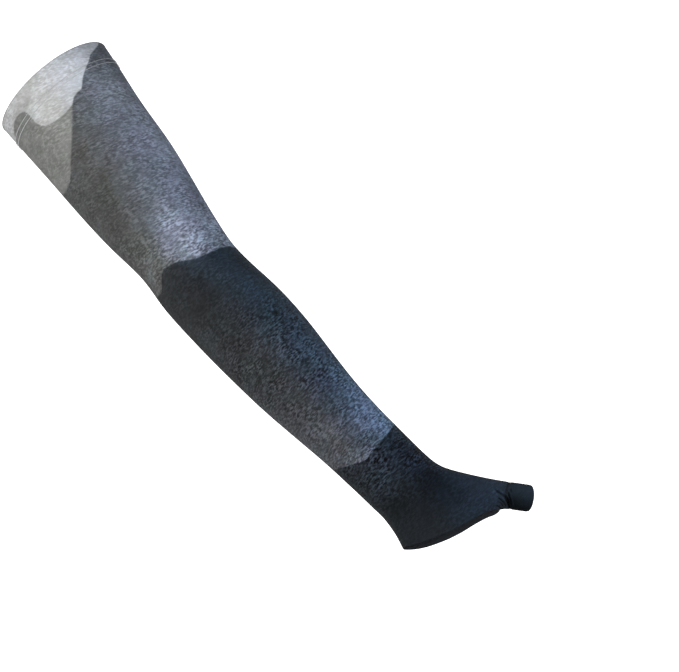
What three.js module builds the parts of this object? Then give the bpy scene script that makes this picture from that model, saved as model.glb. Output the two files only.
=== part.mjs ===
import * as THREE from 'three';

// Compression arm sleeve with a thumb stall, for a right arm, in the form that it has when worn.
// Millimetres. X runs along the arm to the hand, Z points out of the back of the hand and Y to the
// side of the thumb. The origin is the middle of the upper opening.

// Lengths along the arm
const UPPER_ARM_LENGTH = 209;
const ELBOW_TO_BELLY = 50;
const BELLY_TO_WRIST = 163;
const HAND_LENGTH = 77.5;

// How much further each opening's edge lies towards the hand on the side of the thumb than on the
// other side, and the upper one's on both sides than at the back and the palm
const UPPER_EDGE_SLANT = 0.8;
const HAND_EDGE_SLANT = 32;
const UPPER_EDGE_DIP = 2;

// Width across the back of the hand and thickness through it, at each landmark
const OPENING_WIDTH = 109;
const OPENING_THICKNESS = 95;
const ELBOW_WIDTH = 76.5;
const ELBOW_THICKNESS = 82;
const BELLY_WIDTH = 80;
const BELLY_THICKNESS = 79;
const WRIST_WIDTH = 60.5;
const WRIST_THICKNESS = 44;
const PALM_WIDTH = 82;
const PALM_THICKNESS = 33;

// How far the middle of a section lies from the X axis, to the side of the thumb and upwards
const ELBOW_SIDE = -14.2;
const BELLY_SIDE = -11.3;
const WRIST_SIDE = -2.8;
const PALM_SIDE = 6.3;
const WRIST_LIFT = -2;
const PALM_LIFT = -5;

// Cloth
const WALL = 1;
const CLOTH_GAP = 0.3;
const HEM_DEPTH = 24;

// Thumb stall, and the root of the thumb where the arm tube flares out to it
const THUMB_WIDTH = 21.8;
const THUMB_THICKNESS = 21;
const THUMB_LENGTH = 16.3;
const THUMB_ANGLE = THREE.MathUtils.degToRad(45.5);
const THUMB_DROOP = THREE.MathUtils.degToRad(18);
const THUMB_SEAM_SLANT = THREE.MathUtils.degToRad(36);
const THUMB_END_SLANT = THREE.MathUtils.degToRad(2);
const THUMB_ROOT_LENGTH = 63;
const THUMB_ROOT_SPREAD = THREE.MathUtils.degToRad(63);
const WEB_SPREAD = THREE.MathUtils.degToRad(42);
const THUMB_WEB = 4;
const WEB_TURN = 3;
const WEB_TURN_POWER = 6;
const CROTCH_GAP = 1.75;
const CROTCH_TO_SEAM = 7.7;
const FOLD_DEPTH = 0.7;
const FOLD_START = 0.6;

// How stiffly the flare holds the direction of the arm where it starts, and of the thumb at its end
const EASE_OFF_ARM = 0.45;
const EASE_INTO_THUMB = 1.1;

// Mesh: ROOT_COLUMNS counts from the side of the thumb to either side of the window
const AROUND = 40;
const ROOT_COLUMNS = 7;
const ROOT_ROWS = 14;
const FLARE_ROWS = 8;
const STALL_ROWS = 4;
const FOLD_STEPS = 4;

// Smoothing of the flare: how many rows and columns of the tube it takes in, how often it runs, and
// its two steps towards the neighbours' middle and back
const SMOOTH_REACH = 2;
const SMOOTH_ROUNDS = 12;
const SMOOTH_STEPS = [0.5, -0.53];

// Landmarks of the arm, each a length after the one before. fullness is 2 for an ellipse and more
// for a squarer section.
const LANDMARKS = table(
  ['name', 'after', 'width', 'thickness', 'side', 'lift', 'fullness'],
  [
    ['opening', 0, OPENING_WIDTH, OPENING_THICKNESS, 0, 0, 2],
    ['elbow', UPPER_ARM_LENGTH, ELBOW_WIDTH, ELBOW_THICKNESS, ELBOW_SIDE, 0, 2.1],
    ['belly', ELBOW_TO_BELLY, BELLY_WIDTH, BELLY_THICKNESS, BELLY_SIDE, 0, 2],
    ['wrist', BELLY_TO_WRIST, WRIST_WIDTH, WRIST_THICKNESS, WRIST_SIDE, WRIST_LIFT, 2.3],
    ['palm', HAND_LENGTH, PALM_WIDTH, PALM_THICKNESS, PALM_SIDE, PALM_LIFT, 2.4],
  ],
);

// Sections between two landmarks: along is the share of the way to the next landmark, size the share
// of the change in width, thickness and fullness made by then, and place that in side and lift.
const SECTIONS = table(
  ['from', 'along', 'size', 'place'],
  [
    ['opening', 0.1, 0.08, 0.09],
    ['opening', 0.28, 0.27, 0.28],
    ['opening', 0.5, 0.42, 0.45],
    ['opening', 0.66, 0.64, 0.62],
    ['opening', 0.84, 0.96, 0.76],
    ['belly', 0.2, 0.11, 0.14],
    ['belly', 0.4, 0.385, 0.18],
    ['belly', 0.6, 0.72, 0.34],
    ['belly', 0.8, 0.94, 0.66],
    ['wrist', 0.165, 0, 0.11],
    ['wrist', 0.325, 0.02, 0.22],
    ['wrist', 0.525, 0.08, 0.4],
    ['wrist', 0.785, 0.5, 0.74],
  ],
);

// The edge of the hand opening: across runs from -1 at the little finger's side to 1 at the thumb's,
// and reach is the share of HAND_EDGE_SLANT that the edge lies beyond the hand's length there.
const HAND_EDGE = table(
  ['across', 'reach'],
  [
    [-1, -0.565],
    [-0.67, -0.32],
    [-0.32, -0.145],
    [0.05, -0.005],
    [0.4, 0.065],
    [0.7, 0.155],
    [0.88, 0.245],
    [1, 0.265],
  ],
);

// Folds of the flare at the thumb seam, where the back of the hand bends towards the thumb: turn and
// width are degrees round the thumb from its outer side, and depth is the share of FOLD_DEPTH.
const FOLDS = table(
  ['turn', 'width', 'depth'],
  [
    [100, 7, 0.7],
    [121, 7, 1],
    [143, 7, 0.9],
  ],
);

const HEM_FOLD = WALL + CLOTH_GAP / 2;
const SEAM_COLUMNS = 4 * ROOT_COLUMNS + 2 * ROOT_ROWS;
const PROFILE = profile();
const BELLY_STATION = UPPER_ARM_LENGTH + ELBOW_TO_BELLY;
const WRIST_STATION = BELLY_STATION + BELLY_TO_WRIST;
const HAND_STATION = WRIST_STATION + HAND_LENGTH;

// The directions of the thumb: its axis to the tip, its outer side and its back
const THUMB_AXIS = new THREE.Vector3(
  Math.cos(THUMB_ANGLE) * Math.cos(THUMB_DROOP),
  Math.sin(THUMB_ANGLE) * Math.cos(THUMB_DROOP),
  -Math.sin(THUMB_DROOP),
);
const THUMB_OUTER_SIDE = new THREE.Vector3(-Math.sin(THUMB_ANGLE), Math.cos(THUMB_ANGLE), 0);
const THUMB_BACK = new THREE.Vector3().crossVectors(THUMB_AXIS, THUMB_OUTER_SIDE);

// The middle of the thumb seam: its inner side clears the edge of the hand opening
const THUMB_SEAM = sleevePoint(HAND_STATION, 0)
  .addScaledVector(THUMB_OUTER_SIDE, THUMB_WIDTH / 2 + CROTCH_GAP)
  .addScaledVector(THUMB_AXIS, CROTCH_TO_SEAM);

// Rows of objects from a header and the values below it.
function table(columns, rows) {
  return rows.map((row) => Object.fromEntries(columns.map((column, i) => [column, row[i]])));
}

// All sections in order, each with its station, the length along the arm from the upper opening.
function profile() {
  let station = 0;
  const marks = LANDMARKS.map((mark) => {
    station += mark.after;
    return { ...mark, station };
  });
  const between = SECTIONS.map(({ from, along, size, place }) => {
    const i = marks.findIndex((mark) => mark.name === from);
    const change = (key, share) => THREE.MathUtils.lerp(marks[i][key], marks[i + 1][key], share);
    return {
      station: change('station', along),
      width: change('width', size),
      thickness: change('thickness', size),
      fullness: change('fullness', size),
      side: change('side', place),
      lift: change('lift', place),
    };
  });
  return [...marks, ...between].sort((a, b) => a.station - b.station);
}

// The value of key where the column by is at place, on a smooth curve through the rows.
function smooth(rows, by, key, place) {
  const slope = (i) => {
    const before = rows[Math.max(i - 1, 0)];
    const after = rows[Math.min(i + 1, rows.length - 1)];
    return (after[key] - before[key]) / (after[by] - before[by]);
  };
  const last = rows.length - 2;
  const next = rows.findIndex((row) => row[by] > place);
  const i = next < 0 ? last : THREE.MathUtils.clamp(next - 1, 0, last);
  const span = rows[i + 1][by] - rows[i][by];
  const [start, leave, end, arrive] = blendWeights((place - rows[i][by]) / span);
  return (
    start * rows[i][key] +
    leave * slope(i) * span +
    end * rows[i + 1][key] +
    arrive * slope(i + 1) * span
  );
}

// Weights of a cubic's start point, start direction, end point and end direction at t from 0 to 1.
function blendWeights(t) {
  const s = 1 - t;
  return [(1 + 2 * t) * s * s, t * s * s, t * t * (3 - 2 * t), -t * t * s];
}

// A point of the sleeve's outer face: angle 0 is the side of the thumb and a quarter turn the back.
function sleevePoint(station, angle) {
  const at = (key) => smooth(PROFILE, 'station', key, station);
  const rounded = (value) => Math.sign(value) * Math.abs(value) ** (2 / at('fullness'));
  const across = rounded(Math.cos(angle));
  const up = rounded(Math.sin(angle));
  return new THREE.Vector3(
    station + slant(station, across),
    at('side') + (across * at('width')) / 2 - webTurn(station, across),
    at('lift') + (up * at('thickness')) / 2,
  );
}

// How far the web between thumb and hand turns in from the side of the thumb, at the hand opening.
function webTurn(station, across) {
  const share = Math.max(0, 1 - (HAND_STATION - station) / THUMB_WEB);
  return WEB_TURN * share * Math.max(0, across) ** WEB_TURN_POWER;
}

// How far a point lies beyond its station, because of the shape of both openings' edges.
function slant(station, across) {
  const nearOpening = Math.max(0, 1 - station / UPPER_ARM_LENGTH) ** 2;
  const upperEdge = (UPPER_EDGE_SLANT / 2) * across + UPPER_EDGE_DIP * (across ** 2 - 1 / 2);
  const inHand = Math.max(0, station - WRIST_STATION) / HAND_LENGTH;
  const handEdge = HAND_EDGE_SLANT * smooth(HAND_EDGE, 'across', 'reach', across);
  return upperEdge * nearOpening + handEdge * inHand;
}

// The direction out of the sleeve's outer face.
function sleeveNormal(station, angle) {
  const step = 0.01;
  const along = sleevePoint(station + step, angle).sub(sleevePoint(station, angle));
  const around = sleevePoint(station, angle + step).sub(sleevePoint(station, angle - step));
  return around.cross(along).normalize();
}

// The station that lies a length back from the hand opening on the side of the thumb.
function stationBefore(length) {
  const share = length / (HAND_LENGTH + slant(HAND_STATION, 1));
  return HAND_STATION - share * HAND_LENGTH;
}

// Evenly spaced values from start, leaving end out.
function spread(start, end, count) {
  return Array.from({ length: count }, (_, i) => start + ((end - start) * i) / count);
}

// A point of the thumb seam, turned by an angle from the thumb's outer side towards its back, and
// moved along the thumb. The seam and the stall's end are both cut at a slant.
function thumbPoint(angle, along) {
  const toBack = (Math.sin(angle) * THUMB_THICKNESS) / 2;
  const share = along / THUMB_LENGTH;
  const cut = THREE.MathUtils.lerp(-Math.tan(THUMB_SEAM_SLANT), Math.tan(THUMB_END_SLANT), share);
  return THUMB_SEAM.clone()
    .addScaledVector(THUMB_OUTER_SIDE, (Math.cos(angle) * THUMB_WIDTH) / 2)
    .addScaledVector(THUMB_BACK, toBack)
    .addScaledVector(THUMB_AXIS, along + cut * toBack);
}

// Four-sided faces of a grid of vertex numbers. They face out where each row turns from the thumb's
// side to the back and the next row lies nearer the hand, or nearer the tip of the thumb.
function gridFaces(rows, closed) {
  const faces = [];
  for (let i = 0; i + 1 < rows.length; i += 1) {
    const count = rows[i].length;
    for (let j = 0; j < (closed ? count : count - 1); j += 1) {
      const k = (j + 1) % count;
      faces.push([rows[i][j], rows[i][k], rows[i + 1][k], rows[i + 1][j]]);
    }
  }
  return faces;
}

// A mesh geometry from points and four-sided faces.
function geometryOf(points, faces) {
  const geometry = new THREE.BufferGeometry().setFromPoints(points);
  geometry.setIndex(faces.flatMap(([a, b, c, d]) => [a, b, c, a, c, d]));
  geometry.computeVertexNormals();
  return geometry;
}

// A closed wall of cloth: an open surface, its inner face a wall deeper, and a strip that joins the
// two along every free edge.
function clothWall(points, faces) {
  const normals = geometryOf(points, faces).getAttribute('normal');
  const inner = points.map((point, i) => {
    const normal = new THREE.Vector3().fromBufferAttribute(normals, i);
    return point.clone().addScaledVector(normal, -WALL);
  });
  const deeper = points.length;
  const edges = faces.flatMap((face) => face.map((a, i) => [a, face[(i + 1) % face.length]]));
  const known = new Set(edges.map(([a, b]) => `${a} ${b}`));
  const free = edges.filter(([a, b]) => !known.has(`${b} ${a}`));
  return geometryOf(
    [...points, ...inner],
    [
      ...faces,
      ...faces.map((face) => face.map((i) => i + deeper).reverse()),
      ...free.map(([a, b]) => [b, a, a + deeper, b + deeper]),
    ],
  );
}

// The tube from the upper opening to the hand opening. A window on the side of the thumb is left out
// of its grid, and a flare joins the window's edge to the thumb seam.
function armTube() {
  const rootStation = stationBefore(THUMB_ROOT_LENGTH);
  const webStation = stationBefore(THUMB_WEB);
  const stations = [
    ...spread(HEM_FOLD + CLOTH_GAP, HEM_DEPTH, 2),
    ...spread(HEM_DEPTH, UPPER_ARM_LENGTH, 12),
    ...spread(UPPER_ARM_LENGTH, BELLY_STATION, 4),
    ...spread(BELLY_STATION, rootStation, 13),
    ...spread(rootStation, webStation, ROOT_ROWS),
    webStation,
    HAND_STATION,
  ];
  const top = stations.indexOf(rootStation);
  const bottom = stations.indexOf(webStation);
  const columns = spread(-AROUND / 2, AROUND / 2, AROUND);
  const inRoot = (row) => THREE.MathUtils.clamp((row - top) / (bottom - top), 0, 1);
  const at = (row, column) => [stations[row], columnAngle(column, inRoot(row))];
  const inWindow = (row, column) => row > top && row < bottom && Math.abs(column) < ROOT_COLUMNS;
  const points = [];
  const add = (point) => points.push(point) - 1;
  const grid = stations.map((_, row) =>
    columns.map((column) => (inWindow(row, column) ? null : add(sleevePoint(...at(row, column))))),
  );
  const tubeFaces = gridFaces(grid, true).filter((face) => !face.includes(null));

  const edge = windowEdge(top, bottom);
  const flare = [edge.map(([row, column]) => grid[row][column + AROUND / 2])];
  const turn = (2 * Math.PI) / SEAM_COLUMNS;
  for (let k = 1; k <= FLARE_ROWS; k += 1) {
    flare.push(edge.map((place, i) => add(flarePoint(...at(...place), i * turn, k / FLARE_ROWS))));
  }
  const faces = [...tubeFaces, ...gridFaces(flare, true)];
  const reach = ROOT_COLUMNS + SMOOTH_REACH;
  const near = grid
    .slice(top - SMOOTH_REACH, bottom + 1)
    .flatMap((row) => row.slice(AROUND / 2 - reach, AROUND / 2 + reach + 1))
    .filter((i) => i !== null);
  even(points, faces, [...near, ...flare.slice(1, -1).flat()]);
  flare.forEach((ring, k) => ring.forEach((i, n) => points[i].add(fold(n * turn, k / FLARE_ROWS))));
  return clothWall(points, faces);
}

// Takes creases out of a surface: by turns, the chosen points move towards the middle of their
// neighbours and a little further back, so that the surface doesn't shrink.
function even(points, faces, chosen) {
  const neighbours = new Map(chosen.map((i) => [i, new Set()]));
  faces.forEach((face) =>
    face.forEach((i, k) => {
      neighbours.get(i)?.add(face[(k + 1) % 4]).add(face[(k + 3) % 4]);
    }),
  );
  for (let round = 0; round < SMOOTH_ROUNDS; round += 1) {
    for (const share of SMOOTH_STEPS) {
      const moved = chosen.map((i) => {
        const around = [...neighbours.get(i)];
        const middle = around
          .reduce((sum, j) => sum.add(points[j]), new THREE.Vector3())
          .divideScalar(around.length);
        return points[i].clone().lerp(middle, share);
      });
      chosen.forEach((i, k) => points[i].copy(moved[k]));
    }
  }
}

// The angle of a column of the tube's grid. The columns of the window close in on the thumb's side, as
// share goes from 0 at the root of the thumb to 1 at the web, and the others fill the rest.
function columnAngle(column, share) {
  const half = THREE.MathUtils.lerp(THUMB_ROOT_SPREAD, WEB_SPREAD, share);
  const beyond = Math.max(0, Math.abs(column) - ROOT_COLUMNS) / (AROUND / 2 - ROOT_COLUMNS);
  const within = Math.min(1, Math.abs(column) / ROOT_COLUMNS);
  return Math.sign(column) * (half * within + (Math.PI - half) * beyond);
}

// The rows and columns round the window, one for each column of the seam, from the middle of its
// upper edge by way of the back of the hand.
function windowEdge(top, bottom) {
  const right = ROOT_COLUMNS;
  const corners = [
    [top, 0],
    [top, right],
    [bottom, right],
    [bottom, -right],
    [top, -right],
    [top, 0],
  ];
  const places = [];
  for (let i = 0; i + 1 < corners.length; i += 1) {
    const [row, column] = corners[i];
    const [nextRow, nextColumn] = corners[i + 1];
    const count = Math.abs(nextRow - row) + Math.abs(nextColumn - column);
    for (let k = 0; k < count; k += 1) {
      places.push([
        row + (k * (nextRow - row)) / count,
        column + (k * (nextColumn - column)) / count,
      ]);
    }
  }
  return places;
}

// A point of the flare. It starts from the window's edge at a station and an angle of the sleeve, in
// the sleeve's own face, and share 1 is the thumb seam, at the angle turned round the thumb.
function flarePoint(station, angle, turned, share) {
  const start = sleevePoint(station, angle);
  const end = thumbPoint(turned, -CLOTH_GAP);
  const length = start.distanceTo(end);
  const leaving = end.clone().sub(start).projectOnPlane(sleeveNormal(station, angle)).normalize();
  const [fromStart, leave, fromEnd, arrive] = blendWeights(share);
  return new THREE.Vector3()
    .addScaledVector(start, fromStart)
    .addScaledVector(leaving, leave * length * EASE_OFF_ARM)
    .addScaledVector(end, fromEnd)
    .addScaledVector(THUMB_AXIS, arrive * length * EASE_INTO_THUMB);
}

// How far the folds sink into the flare, as a vector. They start at FOLD_START of the way from the
// window to the seam, and end in the seam.
function fold(angle, share) {
  const degrees = THREE.MathUtils.radToDeg(angle);
  const inFold = Math.max(0, share - FOLD_START) / (1 - FOLD_START);
  const sunk = FOLDS.reduce(
    (sum, { turn, width, depth }) => sum + depth * Math.exp(-(((degrees - turn) / width) ** 2)),
    0,
  );
  const outwards = thumbPoint(angle, 0).sub(thumbPoint(angle + Math.PI, 0)).normalize();
  return outwards.multiplyScalar(-4 * inFold * (1 - inFold) * FOLD_DEPTH * sunk);
}

// The hem: half a round where the cloth turns in at the opening, covering the arm tube's end, and the
// turned layer inside the tube. Its section has columns along the arm and depth below the outer face.
function bicepHem() {
  const section = [];
  for (let i = 0; i <= FOLD_STEPS; i += 1) {
    const turn = (Math.PI * i) / FOLD_STEPS;
    section.push({
      along: HEM_FOLD * (1 - Math.sin(turn)),
      depth: HEM_FOLD * (1 + Math.cos(turn)),
    });
  }
  const turned = WALL + CLOTH_GAP;
  section.push(
    { along: HEM_FOLD, depth: turned },
    { along: HEM_DEPTH, depth: turned },
    { along: HEM_DEPTH, depth: turned + WALL },
  );
  const angles = spread(0, 2 * Math.PI, AROUND);
  const points = section.flatMap(({ along, depth }) =>
    angles.map((angle) =>
      sleevePoint(along, angle).addScaledVector(sleeveNormal(along, angle), -depth),
    ),
  );
  const rows = section.map((_, row) => angles.map((_, i) => row * AROUND + i));
  return geometryOf(points, gridFaces([...rows, rows[0]], true));
}

// The short tube round the thumb, from the seam to its clean cut end.
function thumbStall() {
  const alongs = spread(0, THUMB_LENGTH, STALL_ROWS).concat(THUMB_LENGTH);
  const angles = spread(0, 2 * Math.PI, SEAM_COLUMNS);
  const points = alongs.flatMap((along) => angles.map((angle) => thumbPoint(angle, along)));
  const rows = alongs.map((_, row) => angles.map((_, i) => row * SEAM_COLUMNS + i));
  return clothWall(points, gridFaces(rows, true));
}

function piece(name, geometry, color, roughness) {
  const material = new THREE.MeshStandardMaterial({ color, roughness, metalness: 0 });
  const mesh = new THREE.Mesh(geometry, material);
  mesh.name = name;
  return mesh;
}

const sleeve = new THREE.Group();
sleeve.add(
  piece('arm_tube', armTube(), 0x4b525c, 0.85),
  piece('bicep_hem', bicepHem(), 0xa9adb2, 0.85),
  piece('thumb_stall', thumbStall(), 0x1d2228, 0.85),
);

export default sleeve;
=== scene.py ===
"""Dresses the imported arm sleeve: printed knit tube, turned hem, thumb stall and stitching.

Sizes are in millimetres in the part's own frame: X runs along the arm to the hand, Z out of the back
of the hand, Y to the side of the thumb. Turn is the angle round the arm from the side of the thumb,
by way of the back of the hand. Meshes go into Blender in metres.
"""
import logging
import math
from dataclasses import dataclass, field
from enum import Enum, IntEnum

import bpy
import numpy as np
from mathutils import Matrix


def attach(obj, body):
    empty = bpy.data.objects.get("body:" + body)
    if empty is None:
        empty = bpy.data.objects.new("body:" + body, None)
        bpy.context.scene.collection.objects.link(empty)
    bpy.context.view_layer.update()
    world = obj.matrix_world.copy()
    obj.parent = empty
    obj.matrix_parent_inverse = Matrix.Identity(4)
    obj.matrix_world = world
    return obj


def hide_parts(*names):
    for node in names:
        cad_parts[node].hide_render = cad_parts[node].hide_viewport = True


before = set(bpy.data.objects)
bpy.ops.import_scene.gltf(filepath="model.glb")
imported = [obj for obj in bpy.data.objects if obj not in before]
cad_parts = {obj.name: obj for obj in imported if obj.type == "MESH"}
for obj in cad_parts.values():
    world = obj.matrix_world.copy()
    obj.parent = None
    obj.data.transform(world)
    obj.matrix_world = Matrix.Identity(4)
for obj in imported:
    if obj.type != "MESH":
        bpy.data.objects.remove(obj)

Material = bpy.types.Material
Socket = bpy.types.NodeSocket
Value = Socket | float | tuple[float, ...]
Given = dict[int | str, Value]
Colour = tuple[float, float, float, float]
# The colour on the bluer side and on the other, which differ partly by the print's own tint and partly by
# painted cool light on the side of the thumb, and a smooth ramp: the input's start and end, and what comes
# out there
Pair = tuple[Colour, Colour]
Ramp = tuple[float, float, float, float]

log = logging.getLogger("sleeve")
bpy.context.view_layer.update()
# A millimetre in metres, the turn that the count round the arm starts from, and the angle in degrees
# from which an edge is sharp
MM = 0.001
TURN_START = -60.0
SHARP_EDGE = 50.0
# The shine of every finish, and the strength of the knit's relief with its height in metres
SPECULAR = 0.06
SHEEN_ROUGHNESS = 0.5
KNIT_RELIEF = (0.6, 0.00012)


class Face(IntEnum):
    """The sides of a wall of cloth, which are also its material slots."""

    OUTSIDE = 0
    INSIDE = 1
    CUT = 2


class Zone(Enum):
    """The patches of the print, each with the name of its vertex attribute."""

    LIGHT = "light_patch"
    GREY = "grey_patch"
    FOREARM = "forearm_patch"
    CUFF = "cuff_patch"


# Curves, grids and surfaces


def blend_weights(t: np.ndarray) -> tuple[np.ndarray, np.ndarray, np.ndarray, np.ndarray]:
    """Weights of a cubic's start, start direction, end and end direction, for t from 0 to 1.

    Args:
        t: shares of the way.

    Returns:
        The four weights: (1 + 2t)s², ts², t²(3 - 2t) and -t²s, with s = 1 - t.
    """
    s = 1.0 - t
    return (1 + 2 * t) * s * s, t * s * s, t * t * (3 - 2 * t), -t * t * s


def through(rows: np.ndarray, place: np.ndarray) -> np.ndarray:
    """Values on a smooth curve through rows of a place and its values.

    Between two rows it is the cubic whose slopes there are those between the rows on either side.

    Args:
        rows: (n, 1 + k), sorted by the first column.
        place: places of any shape.

    Returns:
        The k values at each place, in a last axis of its own.
    """
    x, y = rows[:, 0], rows[:, 1:]
    order = np.arange(len(x))
    before, after = np.maximum(order - 1, 0), np.minimum(order + 1, len(x) - 1)
    slope = (y[after] - y[before]) / (x[after] - x[before])[:, None]
    i = np.clip(np.searchsorted(x, place, side="right") - 1, 0, len(x) - 2)
    span = (x[i + 1] - x[i])[..., None]
    start, leave, end, arrive = blend_weights((np.asarray(place) - x[i])[..., None] / span)
    return start * y[i] + leave * slope[i] * span + end * y[i + 1] + arrive * slope[i + 1] * span


def unit(vectors: np.ndarray) -> np.ndarray:
    """The vectors at length 1."""
    return vectors / np.maximum(np.linalg.norm(vectors, axis=-1, keepdims=True), 1e-12)


def square_to(vectors: np.ndarray, normals: np.ndarray) -> np.ndarray:
    """Directions of the parts of vectors that are square to their normals."""
    return unit(vectors - (vectors * normals).sum(1, keepdims=True) * normals)


def round_angles(count: int) -> np.ndarray:
    """Angles of a number of places spread evenly over a whole turn."""
    return 2 * math.pi * np.arange(count) / count


def bell(distance: np.ndarray, height: float, spread: float) -> np.ndarray:
    """The bell curve height·exp(-(distance/spread)²)."""
    return height * np.exp(-((distance / spread) ** 2))


def ease(value: np.ndarray, low: float, high: float) -> np.ndarray:
    """0 below low and 1 above high, with the smooth step t²(3 - 2t) between."""
    t = np.clip((value - low) / (high - low), 0, 1)
    return t * t * (3 - 2 * t)


def nearest(points: np.ndarray, line: np.ndarray) -> tuple[np.ndarray, np.ndarray]:
    """The way to points from a line of straight pieces.

    Each point is dropped on each piece, at (p - a)·(b - a)/|b - a|² of its length cut to 0 to 1, and
    the nearest foot counts.

    Args:
        points: (n, k).
        line: (m, k).

    Returns:
        Offsets of the points from their feet, and the feet's shares of the line's length.
    """
    start, way = line[:-1], np.diff(line, axis=0)
    lengths = np.linalg.norm(way, axis=1)
    offset = points[:, None] - start
    share = np.clip((offset * way).sum(2) / np.maximum(lengths**2, 1e-12), 0, 1)
    offset = offset - share[..., None] * way
    best = np.linalg.norm(offset, axis=2).argmin(1)
    along = np.concatenate([[0.0], np.cumsum(lengths)])
    row = np.arange(len(points))
    return offset[row, best], (along[best] + share[row, best] * lengths[best]) / along[-1]


def summed(values: np.ndarray, numbers: np.ndarray, count: int) -> np.ndarray:
    """Adds up the rows of values that have the same number.

    Args:
        values: (n, k).
        numbers: a number for each row.
        count: how many numbers there are.

    Returns:
        (count, k) sums.
    """
    total = np.zeros((count, values.shape[1]))
    np.add.at(total, numbers, values)
    return total


def grid_quads(rows: int, columns: int, looped: bool = False) -> np.ndarray:
    """Four-sided faces of a grid of vertices numbered row by row, each row a ring.

    Args:
        rows: rows of vertices.
        columns: vertices in a row.
        looped: whether the last row joins the first.

    Returns:
        (n, 4) vertex numbers.
    """
    number = np.arange(rows * columns).reshape(rows, columns)
    following = np.roll(number, -1, axis=1)
    quads = np.stack([number, following, np.roll(following, -1, axis=0), np.roll(number, -1, axis=0)], -1)
    return quads[: rows if looped else rows - 1].reshape(-1, 4)


@dataclass
class Surface:
    """A surface of four-sided faces.

    Attributes:
        points: (n, 3) in millimetres.
        quads: (m, 4) vertex numbers, anticlockwise seen from outside.
    """

    points: np.ndarray
    quads: np.ndarray

    def edges(self) -> tuple[np.ndarray, np.ndarray, np.ndarray]:
        """The surface's edges.

        Returns:
            Each edge once as two vertex numbers, the edge number of every side of every face, and how
            many faces share each edge.
        """
        sides = np.stack([self.quads, np.roll(self.quads, -1, 1)], -1).reshape(-1, 2)
        pairs, owner, uses = np.unique(np.sort(sides, 1), axis=0, return_inverse=True, return_counts=True)
        return pairs, owner.reshape(-1, 4), uses

    def normals(self) -> np.ndarray:
        """Directions out of the surface at its points: the sum of the faces' cross products there.

        Returns:
            (n, 3) directions.
        """
        p = self.points[self.quads]
        cross = np.cross(p[:, 2] - p[:, 0], p[:, 3] - p[:, 1])
        return unit(summed(np.repeat(cross, 4, axis=0), self.quads.ravel(), len(self.points)))

    def without_loose_points(self) -> "Surface":
        """The same surface without the points that no face uses."""
        used, quads = np.unique(self.quads, return_inverse=True)
        return Surface(self.points[used], quads.reshape(-1, 4))

    def refined(self) -> "Surface":
        """One round of Catmull-Clark subdivision.

        A face gets the mean of its corners, and an edge the mean of its ends and its faces' points. A
        point moves to (Q + 2R + (n - 3)P)/n, Q the mean of its faces' points and R of its edges'
        middles. On a free edge they are the edge's middle and (a + 6P + b)/8.

        Returns:
            The refined surface, with four faces for each.
        """
        count = len(self.points)
        centres = self.points[self.quads].mean(1)
        pairs, owner, uses = self.edges()
        free = uses == 1
        middles = self.points[pairs].mean(1)
        at_corners = np.repeat(centres, 4, axis=0)
        beside = summed(at_corners, owner.ravel(), len(pairs))
        edge_points = np.where(free[:, None], middles, (2 * middles + beside) / 4)

        faces_at = np.bincount(self.quads.ravel(), minlength=count)[:, None]
        face_sum = summed(at_corners, self.quads.ravel(), count)
        edges_at = np.bincount(pairs.ravel(), minlength=count)[:, None]
        edge_sum = summed(np.repeat(middles, 2, axis=0), pairs.ravel(), count)
        inner = (face_sum / faces_at + 2 * edge_sum / edges_at + (faces_at - 3) * self.points) / faces_at
        rim_sum = summed(np.repeat(middles[free], 2, axis=0), pairs[free].ravel(), count)
        on_rim = np.bincount(pairs[free].ravel(), minlength=count)[:, None] > 0
        moved = np.where(on_rim, self.points / 2 + rim_sum / 4, inner)

        edge = owner + count
        face = np.arange(len(self.quads)) + count + len(pairs)
        quads = np.stack(
            [np.stack([self.quads[:, k], edge[:, k], face, edge[:, k - 1]], 1) for k in range(4)], 1
        )
        return Surface(np.concatenate([moved, edge_points, centres]), quads.reshape(-1, 4))


class Wall:
    """A closed wall of cloth: a surface, its inner side a thickness deeper, and strips on free edges."""

    def __init__(self, surface: Surface, thickness: float) -> None:
        """Adds the inner side at -thickness along the surface's normals.

        Args:
            surface: the outer side.
            thickness: in millimetres.
        """
        deeper = len(surface.points)
        normals = surface.normals()
        self.points = np.concatenate([surface.points, surface.points - thickness * normals])
        self.outwards = np.concatenate([normals, normals])
        sides = np.stack([surface.quads, np.roll(surface.quads, -1, 1)], -1).reshape(-1, 2)
        _, owner, uses = surface.edges()
        free = sides[uses[owner.ravel()] == 1]
        strips = np.stack([free[:, 1], free[:, 0], free[:, 0] + deeper, free[:, 1] + deeper], 1)
        self.quads = np.concatenate([surface.quads, surface.quads[:, ::-1] + deeper, strips])
        counts = [len(surface.quads), len(surface.quads), len(strips)]
        self.faces = np.repeat([Face.OUTSIDE, Face.INSIDE, Face.CUT], counts)


def add_object(name: str, data: bpy.types.ID) -> bpy.types.Object:
    """Adds an object to the scene.

    Args:
        name: its name.
        data: its mesh, light or camera.

    Returns:
        The object.
    """
    thing = bpy.data.objects.new(name, data)
    bpy.context.scene.collection.objects.link(thing)
    return thing


def make_piece(
    name: str, points: np.ndarray, faces: list[np.ndarray], finishes: list[Material]
) -> bpy.types.Object:
    """Puts a mesh into Blender as a piece of the sleeve.

    Args:
        name: the piece's name.
        points: (n, 3) in millimetres.
        faces: blocks of faces, each (m, corners).
        finishes: its own materials, the first of them for all faces that get no other.

    Returns:
        The new object, which rides on the sleeve's body.
    """
    mesh = bpy.data.meshes.new(name)
    mesh.from_pydata((points * MM).tolist(), [], [face for block in faces for face in block.tolist()])
    mesh.polygons.foreach_set("use_smooth", np.ones(len(mesh.polygons), bool))
    mesh.set_sharp_from_angle(angle=math.radians(SHARP_EDGE))
    for finish in finishes:
        mesh.materials.append(finish)
    piece = add_object(name, mesh)
    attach(piece, "root")
    return piece


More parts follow.
